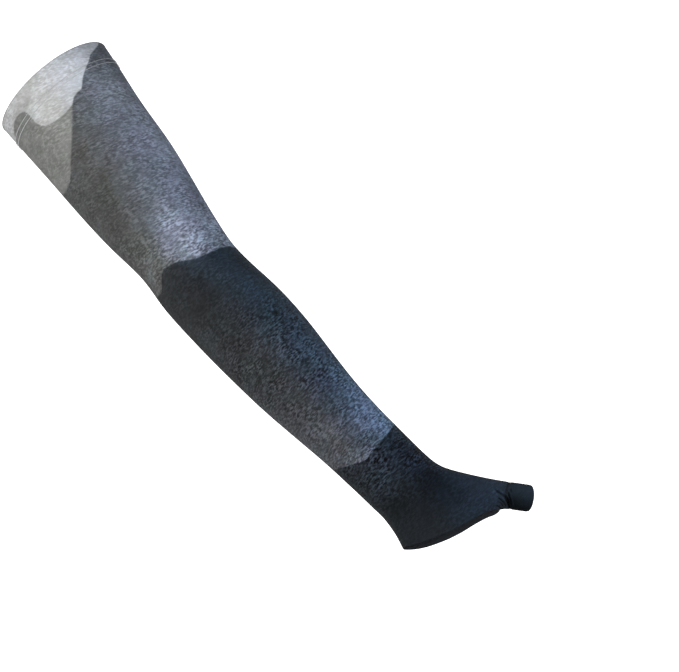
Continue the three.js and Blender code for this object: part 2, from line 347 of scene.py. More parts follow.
def set_faces(piece: bpy.types.Object, faces: np.ndarray) -> None:
    """Gives each face of a piece the number of its finish."""
    piece.data.polygons.foreach_set("material_index", faces.astype(np.int32))


def set_values(piece: bpy.types.Object, name: str, values: np.ndarray) -> None:
    """Stores a number for each vertex, as a named attribute."""
    attribute = piece.data.attributes.new(name, "FLOAT", "POINT")
    attribute.data.foreach_set("value", values.astype(np.float32))


def set_cloth_map(piece: bpy.types.Object, faces: np.ndarray, turn: np.ndarray, along: np.ndarray) -> None:
    """Stores the cloth's own map: U is the share of the way round, and V the way along in metres.

    A face that crosses the end of the turn has a whole turn added on its lower side, so that U runs on.

    Args:
        piece: the object.
        faces: (m, 4) vertex numbers, as in its mesh.
        turn: degrees for each vertex.
        along: millimetres for each vertex.
    """
    u = turn[faces] / 360.0
    u = np.where(u.max(1, keepdims=True) - u > 0.5, u + 1.0, u)
    uv = np.stack([u, along[faces] * MM], -1)
    piece.data.uv_layers.new(name="cloth").data.foreach_set("uv", uv.astype(np.float32).ravel())


# The arm that the knit is stretched over


@dataclass(frozen=True)
class ArmForm:
    """The form that the knit takes on the arm: sections at landmarks with smooth curves between.

    Attributes:
        landmarks: length after the one before, width, thickness, side, lift and fullness of each.
        sections: landmark before, share of the way, share of the change in size and in place.
        hand_edge: place across the hand from -1 to 1, and share of the slant that the edge reaches.
        hand_length: from the wrist to the hand opening.
        upper_slant: how much lower the upper edge lies on the thumb's side than on the other.
        upper_dip: how much lower it lies on both sides than at the back and the palm.
        hand_slant: how much further the hand's edge reaches on the thumb's side than on the other.
        web: length over which the web of the thumb turns in, at the hand's edge.
        web_turn: how far it turns in.
        web_power: how closely that keeps to the thumb's side.
    """

    landmarks: tuple[tuple[float, ...], ...] = (
        (0, 109, 95, 0, 0, 2),
        (209, 76.5, 82, -14.2, 0, 2.1),
        (50, 80, 79, -11.3, 0, 2),
        (163, 60.5, 44, -2.8, -2, 2.3),
        (77.5, 82, 33, 6.3, -5, 2.4),
    )
    sections: tuple[tuple[float, ...], ...] = (
        (0, 0.1, 0.08, 0.09),
        (0, 0.28, 0.27, 0.28),
        (0, 0.5, 0.42, 0.45),
        (0, 0.66, 0.64, 0.62),
        (0, 0.84, 0.96, 0.76),
        (2, 0.2, 0.11, 0.14),
        (2, 0.4, 0.385, 0.18),
        (2, 0.6, 0.72, 0.34),
        (2, 0.8, 0.94, 0.66),
        (3, 0.165, 0, 0.11),
        (3, 0.325, 0.02, 0.22),
        (3, 0.525, 0.08, 0.4),
        (3, 0.785, 0.5, 0.74),
    )
    hand_edge: tuple[tuple[float, float], ...] = (
        (-1, -0.565),
        (-0.67, -0.32),
        (-0.32, -0.145),
        (0.05, -0.005),
        (0.4, 0.065),
        (0.7, 0.155),
        (0.88, 0.245),
        (1, 0.265),
    )
    hand_length: float = 77.5
    upper_slant: float = 0.8
    upper_dip: float = 2.0
    hand_slant: float = 32.0
    web: float = 4.0
    web_turn: float = 3.0
    web_power: float = 6.0

    @property
    def stations(self) -> np.ndarray:
        """Lengths along the arm from the upper opening to each landmark."""
        return np.cumsum([mark[0] for mark in self.landmarks])

    def profile(self) -> np.ndarray:
        """The sections at the landmarks and between them.

        Returns:
            Rows of station, width, thickness, side, lift and fullness, in the order of the stations.
        """
        marks = np.array([(station, *mark[1:]) for station, mark in zip(self.stations, self.landmarks)])
        before, along, size, place = np.array(self.sections).T
        before = before.astype(int)
        shares = np.stack([along, size, size, place, place, size], 1)
        rows = np.concatenate([marks, marks[before] + (marks[before + 1] - marks[before]) * shares])
        return rows[rows[:, 0].argsort()]

    def slant(self, station: np.ndarray, across: np.ndarray) -> np.ndarray:
        """How far a point lies beyond its station, from the shape of both openings' edges.

        The upper edge's slant and its dip fade with the square of the way to the elbow, and the
        hand's edge grows evenly from the wrist.

        Args:
            station: lengths along the arm.
            across: places across it, from -1 to 1 at the side of the thumb.

        Returns:
            The lengths beyond the stations.
        """
        _, elbow, _, wrist, _ = self.stations
        near_opening = np.maximum(0, 1 - station / elbow) ** 2
        upper = self.upper_slant / 2 * across + self.upper_dip * (across**2 - 0.5)
        in_hand = np.maximum(0, station - wrist) / self.hand_length
        hand = self.hand_slant * through(np.array(self.hand_edge), across)[..., 0]
        return upper * near_opening + hand * in_hand

    def point(self, station: np.ndarray, angle: np.ndarray) -> np.ndarray:
        """Points of the sleeve's outer face.

        A section is the superellipse with half axes width/2 and thickness/2: its power is the
        section's fullness. The web of the thumb turns in at the hand's edge.

        Args:
            station: lengths along the arm.
            angle: radians round the arm from the side of the thumb.

        Returns:
            (..., 3) points.
        """
        station, angle = np.broadcast_arrays(np.asarray(station, float), np.asarray(angle, float))
        width, thickness, side, lift, fullness = np.moveaxis(through(self.profile(), station), -1, 0)
        across, up = (np.sign(v) * np.abs(v) ** (2 / fullness) for v in (np.cos(angle), np.sin(angle)))
        near_edge = np.maximum(0, 1 - (self.stations[-1] - station) / self.web)
        turned_in = self.web_turn * near_edge * np.maximum(0, across) ** self.web_power
        x = station + self.slant(station, across)
        return np.stack([x, side + across * width / 2 - turned_in, lift + up * thickness / 2], -1)

    def normal(self, station: np.ndarray, angle: np.ndarray) -> np.ndarray:
        """Directions out of the outer face, from differences along and round it.

        Args:
            station: lengths along the arm.
            angle: radians round the arm from the side of the thumb.

        Returns:
            (..., 3) directions.
        """
        step = 0.01
        along = self.point(station + step, angle) - self.point(station, angle)
        around = self.point(station, angle + step) - self.point(station, angle - step)
        return unit(np.cross(around, along))

    def turn(self, points: np.ndarray) -> np.ndarray:
        """Degrees round the arm, seen from the section's middle.

        Args:
            points: (n, 3).

        Returns:
            The turns, from TURN_START up.
        """
        rows = self.profile()
        width, thickness, side, lift = (np.interp(points[:, 0], rows[:, 0], rows[:, k]) for k in (1, 2, 3, 4))
        turn = np.degrees(np.arctan2((points[:, 2] - lift) / thickness, (points[:, 1] - side) / width))
        return (turn - TURN_START) % 360 + TURN_START

    def arc(self, along: np.ndarray, turn: np.ndarray) -> np.ndarray:
        """Lengths round the arm: the turn in radians times the section's mean radius.

        Args:
            along: millimetres along the arm.
            turn: degrees round it.

        Returns:
            The lengths in millimetres.
        """
        rows = self.profile()
        width, thickness = (np.interp(along, rows[:, 0], rows[:, k]) for k in (1, 2))
        return np.radians(turn) * (width + thickness) / 4

    def station_before(self, length: float) -> float:
        """The station that lies a length back from the hand's edge on the side of the thumb."""
        reach = self.slant(self.stations[-1], np.array(1.0))
        return self.stations[-1] - length * self.hand_length / (self.hand_length + reach)


@dataclass(frozen=True)
class ThumbForm:
    """The thumb seam and the stall round the thumb.

    Attributes:
        arm: the arm's form.
        width: across the thumb.
        thickness: through it.
        length: from the seam to the cut end.
        angle: between thumb and arm, in degrees.
        droop: how far the thumb points down, in degrees.
        seam_slant: slant of the seam in degrees.
        end_slant: slant of the cut end in degrees.
        crotch_gap: how far the seam's inner side clears the hand's edge.
        crotch_to_seam: how far the seam lies along the thumb.
        seam_sink: how deep the seam pulls the cloth in.
        seam_spread: how far from the seam that reaches.
    """

    arm: ArmForm
    width: float = 21.8
    thickness: float = 21.0
    length: float = 16.3
    angle: float = 45.5
    droop: float = 18.0
    seam_slant: float = 36.0
    end_slant: float = 2.0
    crotch_gap: float = 1.75
    crotch_to_seam: float = 7.7
    seam_sink: float = 0.7
    seam_spread: float = 1.1

    @property
    def axis(self) -> np.ndarray:
        """Direction to the tip of the thumb."""
        a, d = math.radians(self.angle), math.radians(self.droop)
        return np.array([math.cos(a) * math.cos(d), math.sin(a) * math.cos(d), -math.sin(d)])

    @property
    def outer_side(self) -> np.ndarray:
        """Direction to the side of the thumb away from the hand."""
        a = math.radians(self.angle)
        return np.array([-math.sin(a), math.cos(a), 0.0])

    @property
    def back(self) -> np.ndarray:
        """Direction out of the back of the thumb."""
        return np.cross(self.axis, self.outer_side)

    @property
    def seam(self) -> np.ndarray:
        """The middle of the thumb seam."""
        start = self.arm.point(self.arm.stations[-1], 0.0)
        return start + self.outer_side * (self.width / 2 + self.crotch_gap) + self.axis * self.crotch_to_seam

    def point(self, angle: np.ndarray, along: np.ndarray) -> np.ndarray:
        """Points of the stall's outer face.

        Each section is an ellipse across the thumb. It leans: its back lies tan(slant) times its
        height back from its middle at the seam, and forward at the end.

        Args:
            angle: radians from the outer side towards the back.
            along: millimetres from the seam.

        Returns:
            (..., 3) points.
        """
        angle, along = np.broadcast_arrays(np.asarray(angle, float), np.asarray(along, float))
        height = np.sin(angle) * self.thickness / 2
        cut = -math.tan(math.radians(self.seam_slant)) * (1 - along / self.length)
        cut = cut + math.tan(math.radians(self.end_slant)) * along / self.length
        sideways = np.cos(angle) * self.width / 2
        onwards = along + cut * height
        return (
            self.seam
            + sideways[..., None] * self.outer_side
            + height[..., None] * self.back
            + onwards[..., None] * self.axis
        )

    def outwards(self, angle: np.ndarray) -> np.ndarray:
        """Directions straight out from the thumb's middle at the seam."""
        return unit(self.point(angle, 0.0) - self.seam)

    def sunk(self, distance: np.ndarray) -> np.ndarray:
        """How deep the seam pulls the cloth in at a distance from it."""
        return bell(distance, self.seam_sink, self.seam_spread)


# The print


@dataclass(frozen=True)
class PrintPatch:
    """A patch of the print, inside a smooth outline on the cloth.

    Attributes:
        zone: which patch.
        outline: pairs of millimetres along the arm and degrees of turn.
    """

    zone: Zone
    outline: tuple[tuple[float, float], ...]

    def line(self, arm: ArmForm, steps: int = 4) -> np.ndarray:
        """The closed outline: the cubic through its points.

        Args:
            arm: the arm's form.
            steps: from one point to the next.

        Returns:
            (n, 2) millimetres along and round the arm, the first point again at the end.
        """
        marks = np.array(self.outline)
        marks = np.stack([marks[:, 0], arm.arc(marks[:, 0], marks[:, 1])], 1)
        before, after, beyond = np.roll(marks, 1, 0), np.roll(marks, -1, 0), np.roll(marks, -2, 0)
        t = (np.arange(steps) / steps)[None, :, None]
        start, leave, end, arrive = blend_weights(t)
        slope, next_slope = (after - before) / 2, (beyond - marks) / 2
        curve = start * marks[:, None] + leave * slope[:, None] + end * after[:, None]
        curve = (curve + arrive * next_slope[:, None]).reshape(-1, 2)
        return np.concatenate([curve, curve[:1]])

    def inset(self, arm: ArmForm, along: np.ndarray, turn: np.ndarray) -> np.ndarray:
        """How far places on the cloth lie inside the outline.

        A place is inside where a line from it across the arm crosses the outline an odd number of
        times.

        Args:
            arm: the arm's form.
            along: millimetres along the cloth.
            turn: degrees round the arm.

        Returns:
            The distances in millimetres, below 0 outside.
        """
        line = self.line(arm)
        places = np.stack([along, arm.arc(along, turn)], 1)
        distance = np.linalg.norm(nearest(places, line)[0], axis=1)
        low, high = line[:-1], line[1:]
        spans = (low[:, 0] > places[:, None, 0]) != (high[:, 0] > places[:, None, 0])
        rise = np.where(high[:, 0] == low[:, 0], 1.0, high[:, 0] - low[:, 0])
        crossing = low[:, 1] + (places[:, None, 0] - low[:, 0]) * (high[:, 1] - low[:, 1]) / rise
        inside = (spans & (crossing > places[:, None, 1])).sum(1) % 2 == 1
        return np.where(inside, distance, -distance)


PRINT = (
    PrintPatch(Zone.GREY, (
        (20, 80), (34, 83), (36.7, 90.6), (47, 100), (57.5, 110), (68.7, 123), (79, 138), (82.5, 149),
        (82.5, 165), (79, 180), (72, 196), (60, 212), (45, 226), (28, 238), (8, 247), (-30, 252),
        (-30, 170), (-30, 90),
    )),
    PrintPatch(Zone.LIGHT, (
        (-30, 5), (-10, 16), (0, 22), (6, 32.5), (11, 47.5), (16, 55), (22, 65), (27, 71.5), (33.5, 78),
        (34, 83), (35.5, 88.5), (39.3, 93.2), (41, 100), (41, 109.5), (38.5, 122), (34.6, 128),
        (30, 130.6), (25, 131.3), (19, 131.3), (15.2, 133), (12.5, 139), (12, 147), (13.7, 155.5),
        (17, 166), (22, 180), (27, 195), (26, 212), (18, 228), (5, 240), (-10, 248), (-30, 255),
        (-45, 130),
    )),
    PrintPatch(Zone.FOREARM, (
        (213, -110), (213, -85), (213, -70), (212, -40), (211, -10), (210.5, 10), (210, 27),
        (208.4, 38), (207, 55), (206, 69), (203.7, 85.5), (199.2, 99.6), (195.1, 109.5),
        (192.2, 122), (191.4, 130), (194.3, 138), (198.6, 145), (200.7, 153), (199.9, 163),
        (198, 176), (197, 195), (200, 218), (206, 245), (211, 270), (213, 290), (213, 320),
        (213, 345), (470, 345), (470, -110),
    )),
    PrintPatch(Zone.CUFF, (
        (402, -110), (402, -85), (402, -70), (401, -40), (401, -10), (402.5, 15), (404.4, 37),
        (407.7, 63), (409.2, 81), (410.8, 96), (411.7, 108), (410.6, 117), (407.1, 130), (403, 148),
        (401, 157.5), (399, 172), (397, 190), (397, 215), (399, 245), (401, 270), (402, 290),
        (402, 320), (402, 345), (600, 345), (600, -110),
    )),
)


@dataclass(frozen=True)
class ToneCloud:
    """A soft cloud where the print is paler, or darker where strength is below 0: mostly the print's own
    uneven tone, and in a few places a painted highlight.

    Attributes:
        along: of its middle, in millimetres.
        turn: of its middle, in degrees.
        reach_along: how far it spreads along the arm, in millimetres.
        reach_around: how far it spreads round it, in degrees.
        strength: of its middle.
    """

    along: float
    turn: float
    reach_along: float
    reach_around: float
    strength: float

    def tone(self, along: np.ndarray, turn: np.ndarray) -> np.ndarray:
        """Its share at places: strength·exp(-(a/reach_along)² - (t/reach_around)²)."""
        a, t = (along - self.along) / self.reach_along, (turn - self.turn) / self.reach_around
        return self.strength * np.exp(-(a**2) - t**2)


# The clouds of the print: mostly its own uneven tone, and in places painted light, such as the bright patches
# above the elbow and above the cuff, which are painted highlights.
PALER = tuple(ToneCloud(*cloud) for cloud in (
    (2, 42, 20, 26, -0.4), (17, 68, 9, 13, 0.22), (18, 136, 8, 10, -0.2), (27, 112, 12, 20, 0.14),
    (30, 88, 6, 9, -0.1), (30, 28, 22, 10, -0.35), (52, 50, 22, 18, 0.4), (105, 40, 22, 14, 0.28),
    (130, 122, 38, 24, -0.2), (155, 86, 16, 14, 0.2), (156, 34, 16, 12, -0.4), (182, 118, 42, 34, 0.35),
    (186, 85, 24, 19, 0.65), (188, 150, 40, 9, 0.22), (200, 44, 14, 16, 0.15), (212, 80, 14, 50, -0.3),
    (228, 112, 22, 20, -0.25), (232, 40, 26, 13, -0.4), (256, 151, 24, 14, 0.38),
    (283, 138, 14, 14, 0.3), (292, 97, 14, 18, 0.35), (304, 131, 10, 10, 0.35),
    (320, 165, 110, 26, 0.35), (325, 78, 12, 14, -0.18), (346, 70, 14, 12, -0.28),
    (350, 168, 40, 12, 0.3), (365, 92, 35, 22, -0.2), (370, 32, 22, 10, 0.2), (377, 112, 9, 10, 0.45),
    (385, 46, 34, 20, 0.6), (389, 75, 9, 9, 0.4), (400, 88, 9, 22, -0.33), (412, 95, 12, 40, 0.35),
    (419, 50, 13, 26, -0.45), (434, 110, 14, 36, 0.35), (452, 135, 14, 24, -0.28),
    (456, 60, 13, 36, -0.42), (467, 36, 14, 12, 0.4), (470, 95, 24, 60, -0.27), (490, 26, 14, 22, 0.5),
    (497, 45, 16, 45, 0.4),
))
# Clouds where the print is bluer still; the one above the elbow belongs to the painted highlight there.
BLUER = tuple(ToneCloud(*cloud) for cloud in (
    (178, 104, 36, 18, 0.4), (432, 112, 26, 26, 0.4),
))
# The side of the thumb is bluer and brighter, partly by the print's own tint and partly by painted cool light
# where
# the light falls: the turns where it has faded on the palm side, where it is full, and the same on the back,
# and the length along the arm over which its second half comes in
BLUE_SIDE = (-140.0, -60.0, 52.0, 122.0)
BLUE_LENGTH = 170.0


def print_on(piece: bpy.types.Object, arm: ArmForm, along: np.ndarray, turn: np.ndarray) -> None:
    """Stores the print on the vertices of a piece, with its painted highlights and its partly painted cool
    light.

    Args:
        piece: the object.
        arm: the arm's form.
        along: millimetres along the cloth for each vertex.
        turn: degrees round the arm for each vertex.
    """
    for patch in PRINT:
        set_values(piece, patch.zone.value, patch.inset(arm, along, turn))
    # Tone clouds: the print's own uneven tone, with painted highlights among them
    set_values(piece, "print_tone_and_highlights", sum(cloud.tone(along, turn) for cloud in PALER))
    # Bluer and brighter towards the side of the thumb: partly the print's tint, partly painted cool light
    faded_palm, full_palm, full_back, faded_back = BLUE_SIDE
    bluer = ease(turn, faded_palm, full_palm) * ease(-turn, -faded_back, -full_back)
    bluer = bluer * (1 + ease(along, 0.0, BLUE_LENGTH)) / 2
    set_values(piece, "coolness", bluer + sum(cloud.tone(along, turn) for cloud in BLUER))


# Node groups and finishes


def dye(red: float, green: float, blue: float) -> Colour:
    """A colour in display values from 0 to 255, as Blender's linear colour."""
    shares = (red / 255, green / 255, blue / 255)
    return (*(((v + 0.055) / 1.055) ** 2.4 if v > 0.04045 else v / 12.92 for v in shares), 1.0)


class Bench:
    """Adds nodes to a node tree and joins them."""

    def __init__(self, tree: bpy.types.NodeTree) -> None:
        """Starts with an empty tree."""
        self.tree = tree
        tree.nodes.clear()

    def put(self, target: Socket, value: Value) -> None:
        """Joins an output to an input, or sets the input's own value.

        Args:
            target: the input.
            value: the output or the value.
        """
        if isinstance(value, Socket):
            self.tree.links.new(value, target)
        else:
            target.default_value = value

    def node(self, kind: str, given: Given | None = None, **settings: object) -> bpy.types.Node:
        """Adds a node.

        Args:
            kind: its type.
            given: outputs or values for its inputs, by number or by name.
            **settings: its properties.

        Returns:
            The node.
        """
        node = self.tree.nodes.new(kind)
        for name, value in settings.items():
            setattr(node, name, value)
        for name, value in (given or {}).items():
            self.put(node.inputs[name], value)
        return node

    def math(self, operation: str, first: Value, second: Value = 0.0, clamp: bool = False) -> Socket:
        """One or two values put through an operation."""
        node = self.node("ShaderNodeMath", {0: first, 1: second}, operation=operation, use_clamp=clamp)
        return node.outputs[0]

    def plus(self, first: Value, second: Value, clamp: bool = False) -> Socket:
        """The sum of two values."""
        return self.math("ADD", first, second, clamp)

    def less(self, first: Value, second: Value) -> Socket:
        """The first value less the second."""
        return self.math("SUBTRACT", first, second)

    def times(self, first: Value, second: Value, clamp: bool = False) -> Socket:
        """The product of two values."""
        return self.math("MULTIPLY", first, second, clamp)

    def span(self, value: Value, low: Value, high: Value, start: Value = 0.0, end: Value = 1.0) -> Socket:
        """A value mapped smoothly from low to high on to start to end."""
        given = {"Value": value, "From Min": low, "From Max": high, "To Min": start, "To Max": end}
        return self.node("ShaderNodeMapRange", given, interpolation_type="SMOOTHSTEP").outputs[0]

    def mix(self, share: Value, first: Value, second: Value, blend: str = "MIX") -> Socket:
        """Two colours mixed by a share."""
        given = {0: share, 6: first, 7: second}
        return self.node("ShaderNodeMix", given, data_type="RGBA", blend_type=blend).outputs[2]

    def tinted(self, colour: Value, tint: Value) -> Socket:
        """A colour times a tint."""
        return self.mix(1.0, colour, tint, "MULTIPLY")

    def between(self, share: Value, first: Value, second: Value) -> Socket:
        """Two values mixed by a share."""
        return self.node("ShaderNodeMix", {0: share, 2: first, 3: second}, data_type="FLOAT").outputs[0]

    def scaled(self, vector: Value, scale: Value) -> Socket:
        """A vector times another, part by part."""
        return self.node("ShaderNodeVectorMath", {0: vector, 1: scale}, operation="MULTIPLY").outputs[0]

    def parts(self, vector: Value) -> tuple[Socket, ...]:
        """The three parts of a vector."""
        return tuple(self.node("ShaderNodeSeparateXYZ", {0: vector}).outputs)

    def noise(
        self, vector: Value, scale: Value, detail: float, rough: float = 0.5, warp: float = 0.0
    ) -> Socket:
        """The value of a noise pattern."""
        given = {"Vector": vector, "Scale": scale, "Detail": detail, "Roughness": rough, "Distortion": warp}
        return self.node("ShaderNodeTexNoise", given).outputs[0]

    def attribute(self, name: str) -> Socket:
        """The value that a mesh keeps under a name."""
        return self.node("ShaderNodeAttribute", attribute_name=name).outputs["Fac"]

    def place(self, group: bpy.types.NodeTree, **values: Value) -> bpy.types.NodeOutputs:
        """A group's outputs, with its inputs set by name, an underscore for a space."""
        given = {name.replace("_", " "): value for name, value in values.items()}
        return self.node("ShaderNodeGroup", given, node_tree=group).outputs

    def relief(self, shader: bpy.types.Node, height: Value, strength: float, distance: float) -> None:
        """Gives a shader a relief from a height, where 1 is a distance in metres."""
        given = {"Strength": strength, "Distance": distance, "Height": height}
        self.put(shader.inputs["Normal"], self.node("ShaderNodeBump", given).outputs[0])


def new_group(
    name: str, inputs: dict[str, str], outputs: dict[str, str]
) -> tuple[Bench, bpy.types.NodeOutputs, bpy.types.NodeInputs]:
    """A shader node group with named sockets.

    Args:
        name: the group's name.
        inputs: kinds of its input sockets by name.
        outputs: kinds of its output sockets by name.

    Returns:
        Its bench, what it is given, and what it puts out.
    """
    tree = bpy.data.node_groups.new(name, "ShaderNodeTree")
    bench = Bench(tree)
    for in_out, sockets in (("INPUT", inputs), ("OUTPUT", outputs)):
        for socket, kind in sockets.items():
            tree.interface.new_socket(socket, in_out=in_out, socket_type=f"NodeSocket{kind}")
    return bench, bench.node("NodeGroupInput").outputs, bench.node("NodeGroupOutput").inputs


@dataclass(frozen=True)
class HeatherPattern:
    """Streaks of paler and darker yarn, longer round the arm than along it, and soft clouds of dye.

    The streaks are two noises on coordinates stretched round the arm, a fine one and a wormy one of
    twice its size, and the parts above and below their middle are the pale and the dark ones. They
    slant towards the hand on the upper arm and away from it on the forearm: x is taken less y times
    the slant. A broad noise thins them out in places.

    Attributes:
        slant: ramp of the slant along the arm, in metres.
        wormy: ramp of the wormy noise's share along the arm, in metres.
        narrow: what lengths across the arm are multiplied by for the streaks.
        pale: values of the noise where the pale streaks come in and are full.
        dark: the same for the dark ones.
        crowd_scale: scale of the broad noise.
        crowd: ramp of what it leaves of the streaks.
        cloud_scale: scale of the clouds.
        cloud_narrow: what they are multiplied by for the clouds.
        cloud: values of their noise that become 0 and 1.
        cast_scale: scale of the change from one cast to another.
        cast: values of its noise that become 0 and 1.
    """

    slant: Ramp = (0.12, 0.26, 0.24, -0.07)
    wormy: Ramp = (0.2, 0.25, 0.37, 0.2)
    narrow: float = 0.4
    pale: tuple[float, float] = (0.5, 0.61)
    dark: tuple[float, float] = (0.5, 0.39)
    crowd_scale: float = 70.0
    crowd: Ramp = (0.35, 0.65, 0.55, 1.0)
    cloud_scale: float = 75.0
    cloud_narrow: float = 0.7
    cloud: tuple[float, float] = (0.3, 0.7)
    cast_scale: float = 48.0
    cast: tuple[float, float] = (0.36, 0.64)

    def group(self) -> bpy.types.NodeTree:
        """Makes the node group.

        Returns:
            The group, which puts out masks of the streaks, the clouds and the change of the cast.
        """
        bench, given, out = new_group(
            "heather streaks",
            {"Vector": "Vector", "Streak Size": "Float"},
            {"Pale": "Float", "Dark": "Float", "Cloud": "Float", "Cast": "Float"},
        )
        place = given["Vector"]
        x, y, z = bench.parts(place)
        slanted_x = bench.less(x, bench.times(y, bench.span(x, *self.slant)))
        slanted = bench.node("ShaderNodeCombineXYZ", {0: slanted_x, 1: y, 2: z}).outputs[0]
        stretched = bench.scaled(slanted, (1.0, self.narrow, self.narrow))
        fineness = bench.math("DIVIDE", 1.0, given["Streak Size"])
        fine = bench.noise(stretched, fineness, detail=2.0, rough=0.6, warp=0.1)
        worms = bench.noise(stretched, bench.times(fineness, 0.5), detail=1.0, warp=0.3)
        streaks = bench.between(bench.span(x, *self.wormy), fine, worms)
        crowd = bench.span(bench.noise(place, self.crowd_scale, detail=2.0), *self.crowd)
        bench.put(out["Pale"], bench.times(bench.span(streaks, *self.pale), crowd))
        bench.put(out["Dark"], bench.times(bench.span(streaks, *self.dark), crowd))
        around = bench.scaled(place, (1.0, self.cloud_narrow, self.cloud_narrow))
        cloud = bench.noise(around, self.cloud_scale, detail=4.0, rough=0.6)
        bench.put(out["Cloud"], bench.span(cloud, *self.cloud))
        bench.put(out["Cast"], bench.span(bench.noise(place, self.cast_scale, detail=2.0), *self.cast))
        return bench.tree


def knit_group() -> bpy.types.NodeTree:
    """Makes the relief of fine jersey loops on the cloth's own map.

    A wale is one part of the U map's wales, and its loops are the wave cos(2π(V/course + |w|)), w the
    place across the wale from -1/2 to 1/2, times the round of the wale, 1 - 4w².

    Returns:
        The group.
    """
    bench, given, out = new_group(
        "knit loops",
        {"Map": "Vector", "Wales": "Float", "Course": "Float"},
        {"Height": "Float"},
    )
    u, v, _ = bench.parts(given["Map"])
    wale = bench.math("FRACT", bench.times(u, given["Wales"]))
    across = bench.math("ABSOLUTE", bench.less(wale, 0.5))
    course = bench.math("DIVIDE", v, given["Course"])
    wave = bench.math("COSINE", bench.times(bench.plus(course, across), 2 * math.pi))
    loops = bench.plus(bench.times(wave, 0.5), 0.5)
    rounding = bench.less(1.0, bench.times(bench.math("POWER", across, 2.0), 4.0))
    bench.put(out["Height"], bench.times(loops, rounding))
    return bench.tree


def patch_group() -> bpy.types.NodeTree:
    """Makes the group that lays one patch of the print over the colour below it.

    Inset is how far inside the patch a place lies: the mask goes from 0 to 1 over twice the softness.

    Returns:
        The group.
    """
    colours = {"Under": "Color", "Cool": "Color", "Warm": "Color"}
    values = {"Coolness": "Float", "Inset": "Float", "Softness": "Float"}
    bench, given, out = new_group("print patch", colours | values, {"Colour": "Color", "Mask": "Float"})
    soft = given["Softness"]
    mask = bench.span(given["Inset"], bench.times(soft, -1.0), soft)
    patch = bench.mix(given["Coolness"], given["Warm"], given["Cool"])
    bench.put(out["Colour"], bench.mix(mask, given["Under"], patch))
    bench.put(out["Mask"], mask)
    return bench.tree


@dataclass(frozen=True)
class Groups:
    """The node groups that the finishes share.

    Attributes:
        heather: streaks and clouds of the dye.
        knit: relief of the loops.
        patch: a patch of the print over the colour below.
    """

    heather: bpy.types.NodeTree = field(default_factory=lambda: HeatherPattern().group())
    knit: bpy.types.NodeTree = field(default_factory=knit_group)
    patch: bpy.types.NodeTree = field(default_factory=patch_group)

    def loops(self, bench: Bench, wales: float, course: float) -> Socket:
        """The height of the knit's loops on a piece's own map."""
        cloth = bench.node("ShaderNodeUVMap", uv_map="cloth").outputs[0]
        return bench.place(self.knit, Map=cloth, Wales=wales, Course=course)["Height"]


def new_material(name: str, roughness: float, sheen: float) -> tuple[Material, Bench, bpy.types.Node]:
    """A material with one Principled shader.

    Args:
        name: the material's name.
        roughness: the shader's own roughness.
        sheen: its sheen weight.

    Returns:
        The material, its bench and its shader.
    """
    material = bpy.data.materials.new(name)
    material.use_nodes = True
    bench = Bench(material.node_tree)
    given = {"Roughness": roughness, "Specular IOR Level": SPECULAR}
    given |= {"Sheen Weight": sheen, "Sheen Roughness": SHEEN_ROUGHNESS}
    shader = bench.node("ShaderNodeBsdfPrincipled", given)
    bench.node("ShaderNodeOutputMaterial", {0: shader.outputs[0]})
    return material, bench, shader


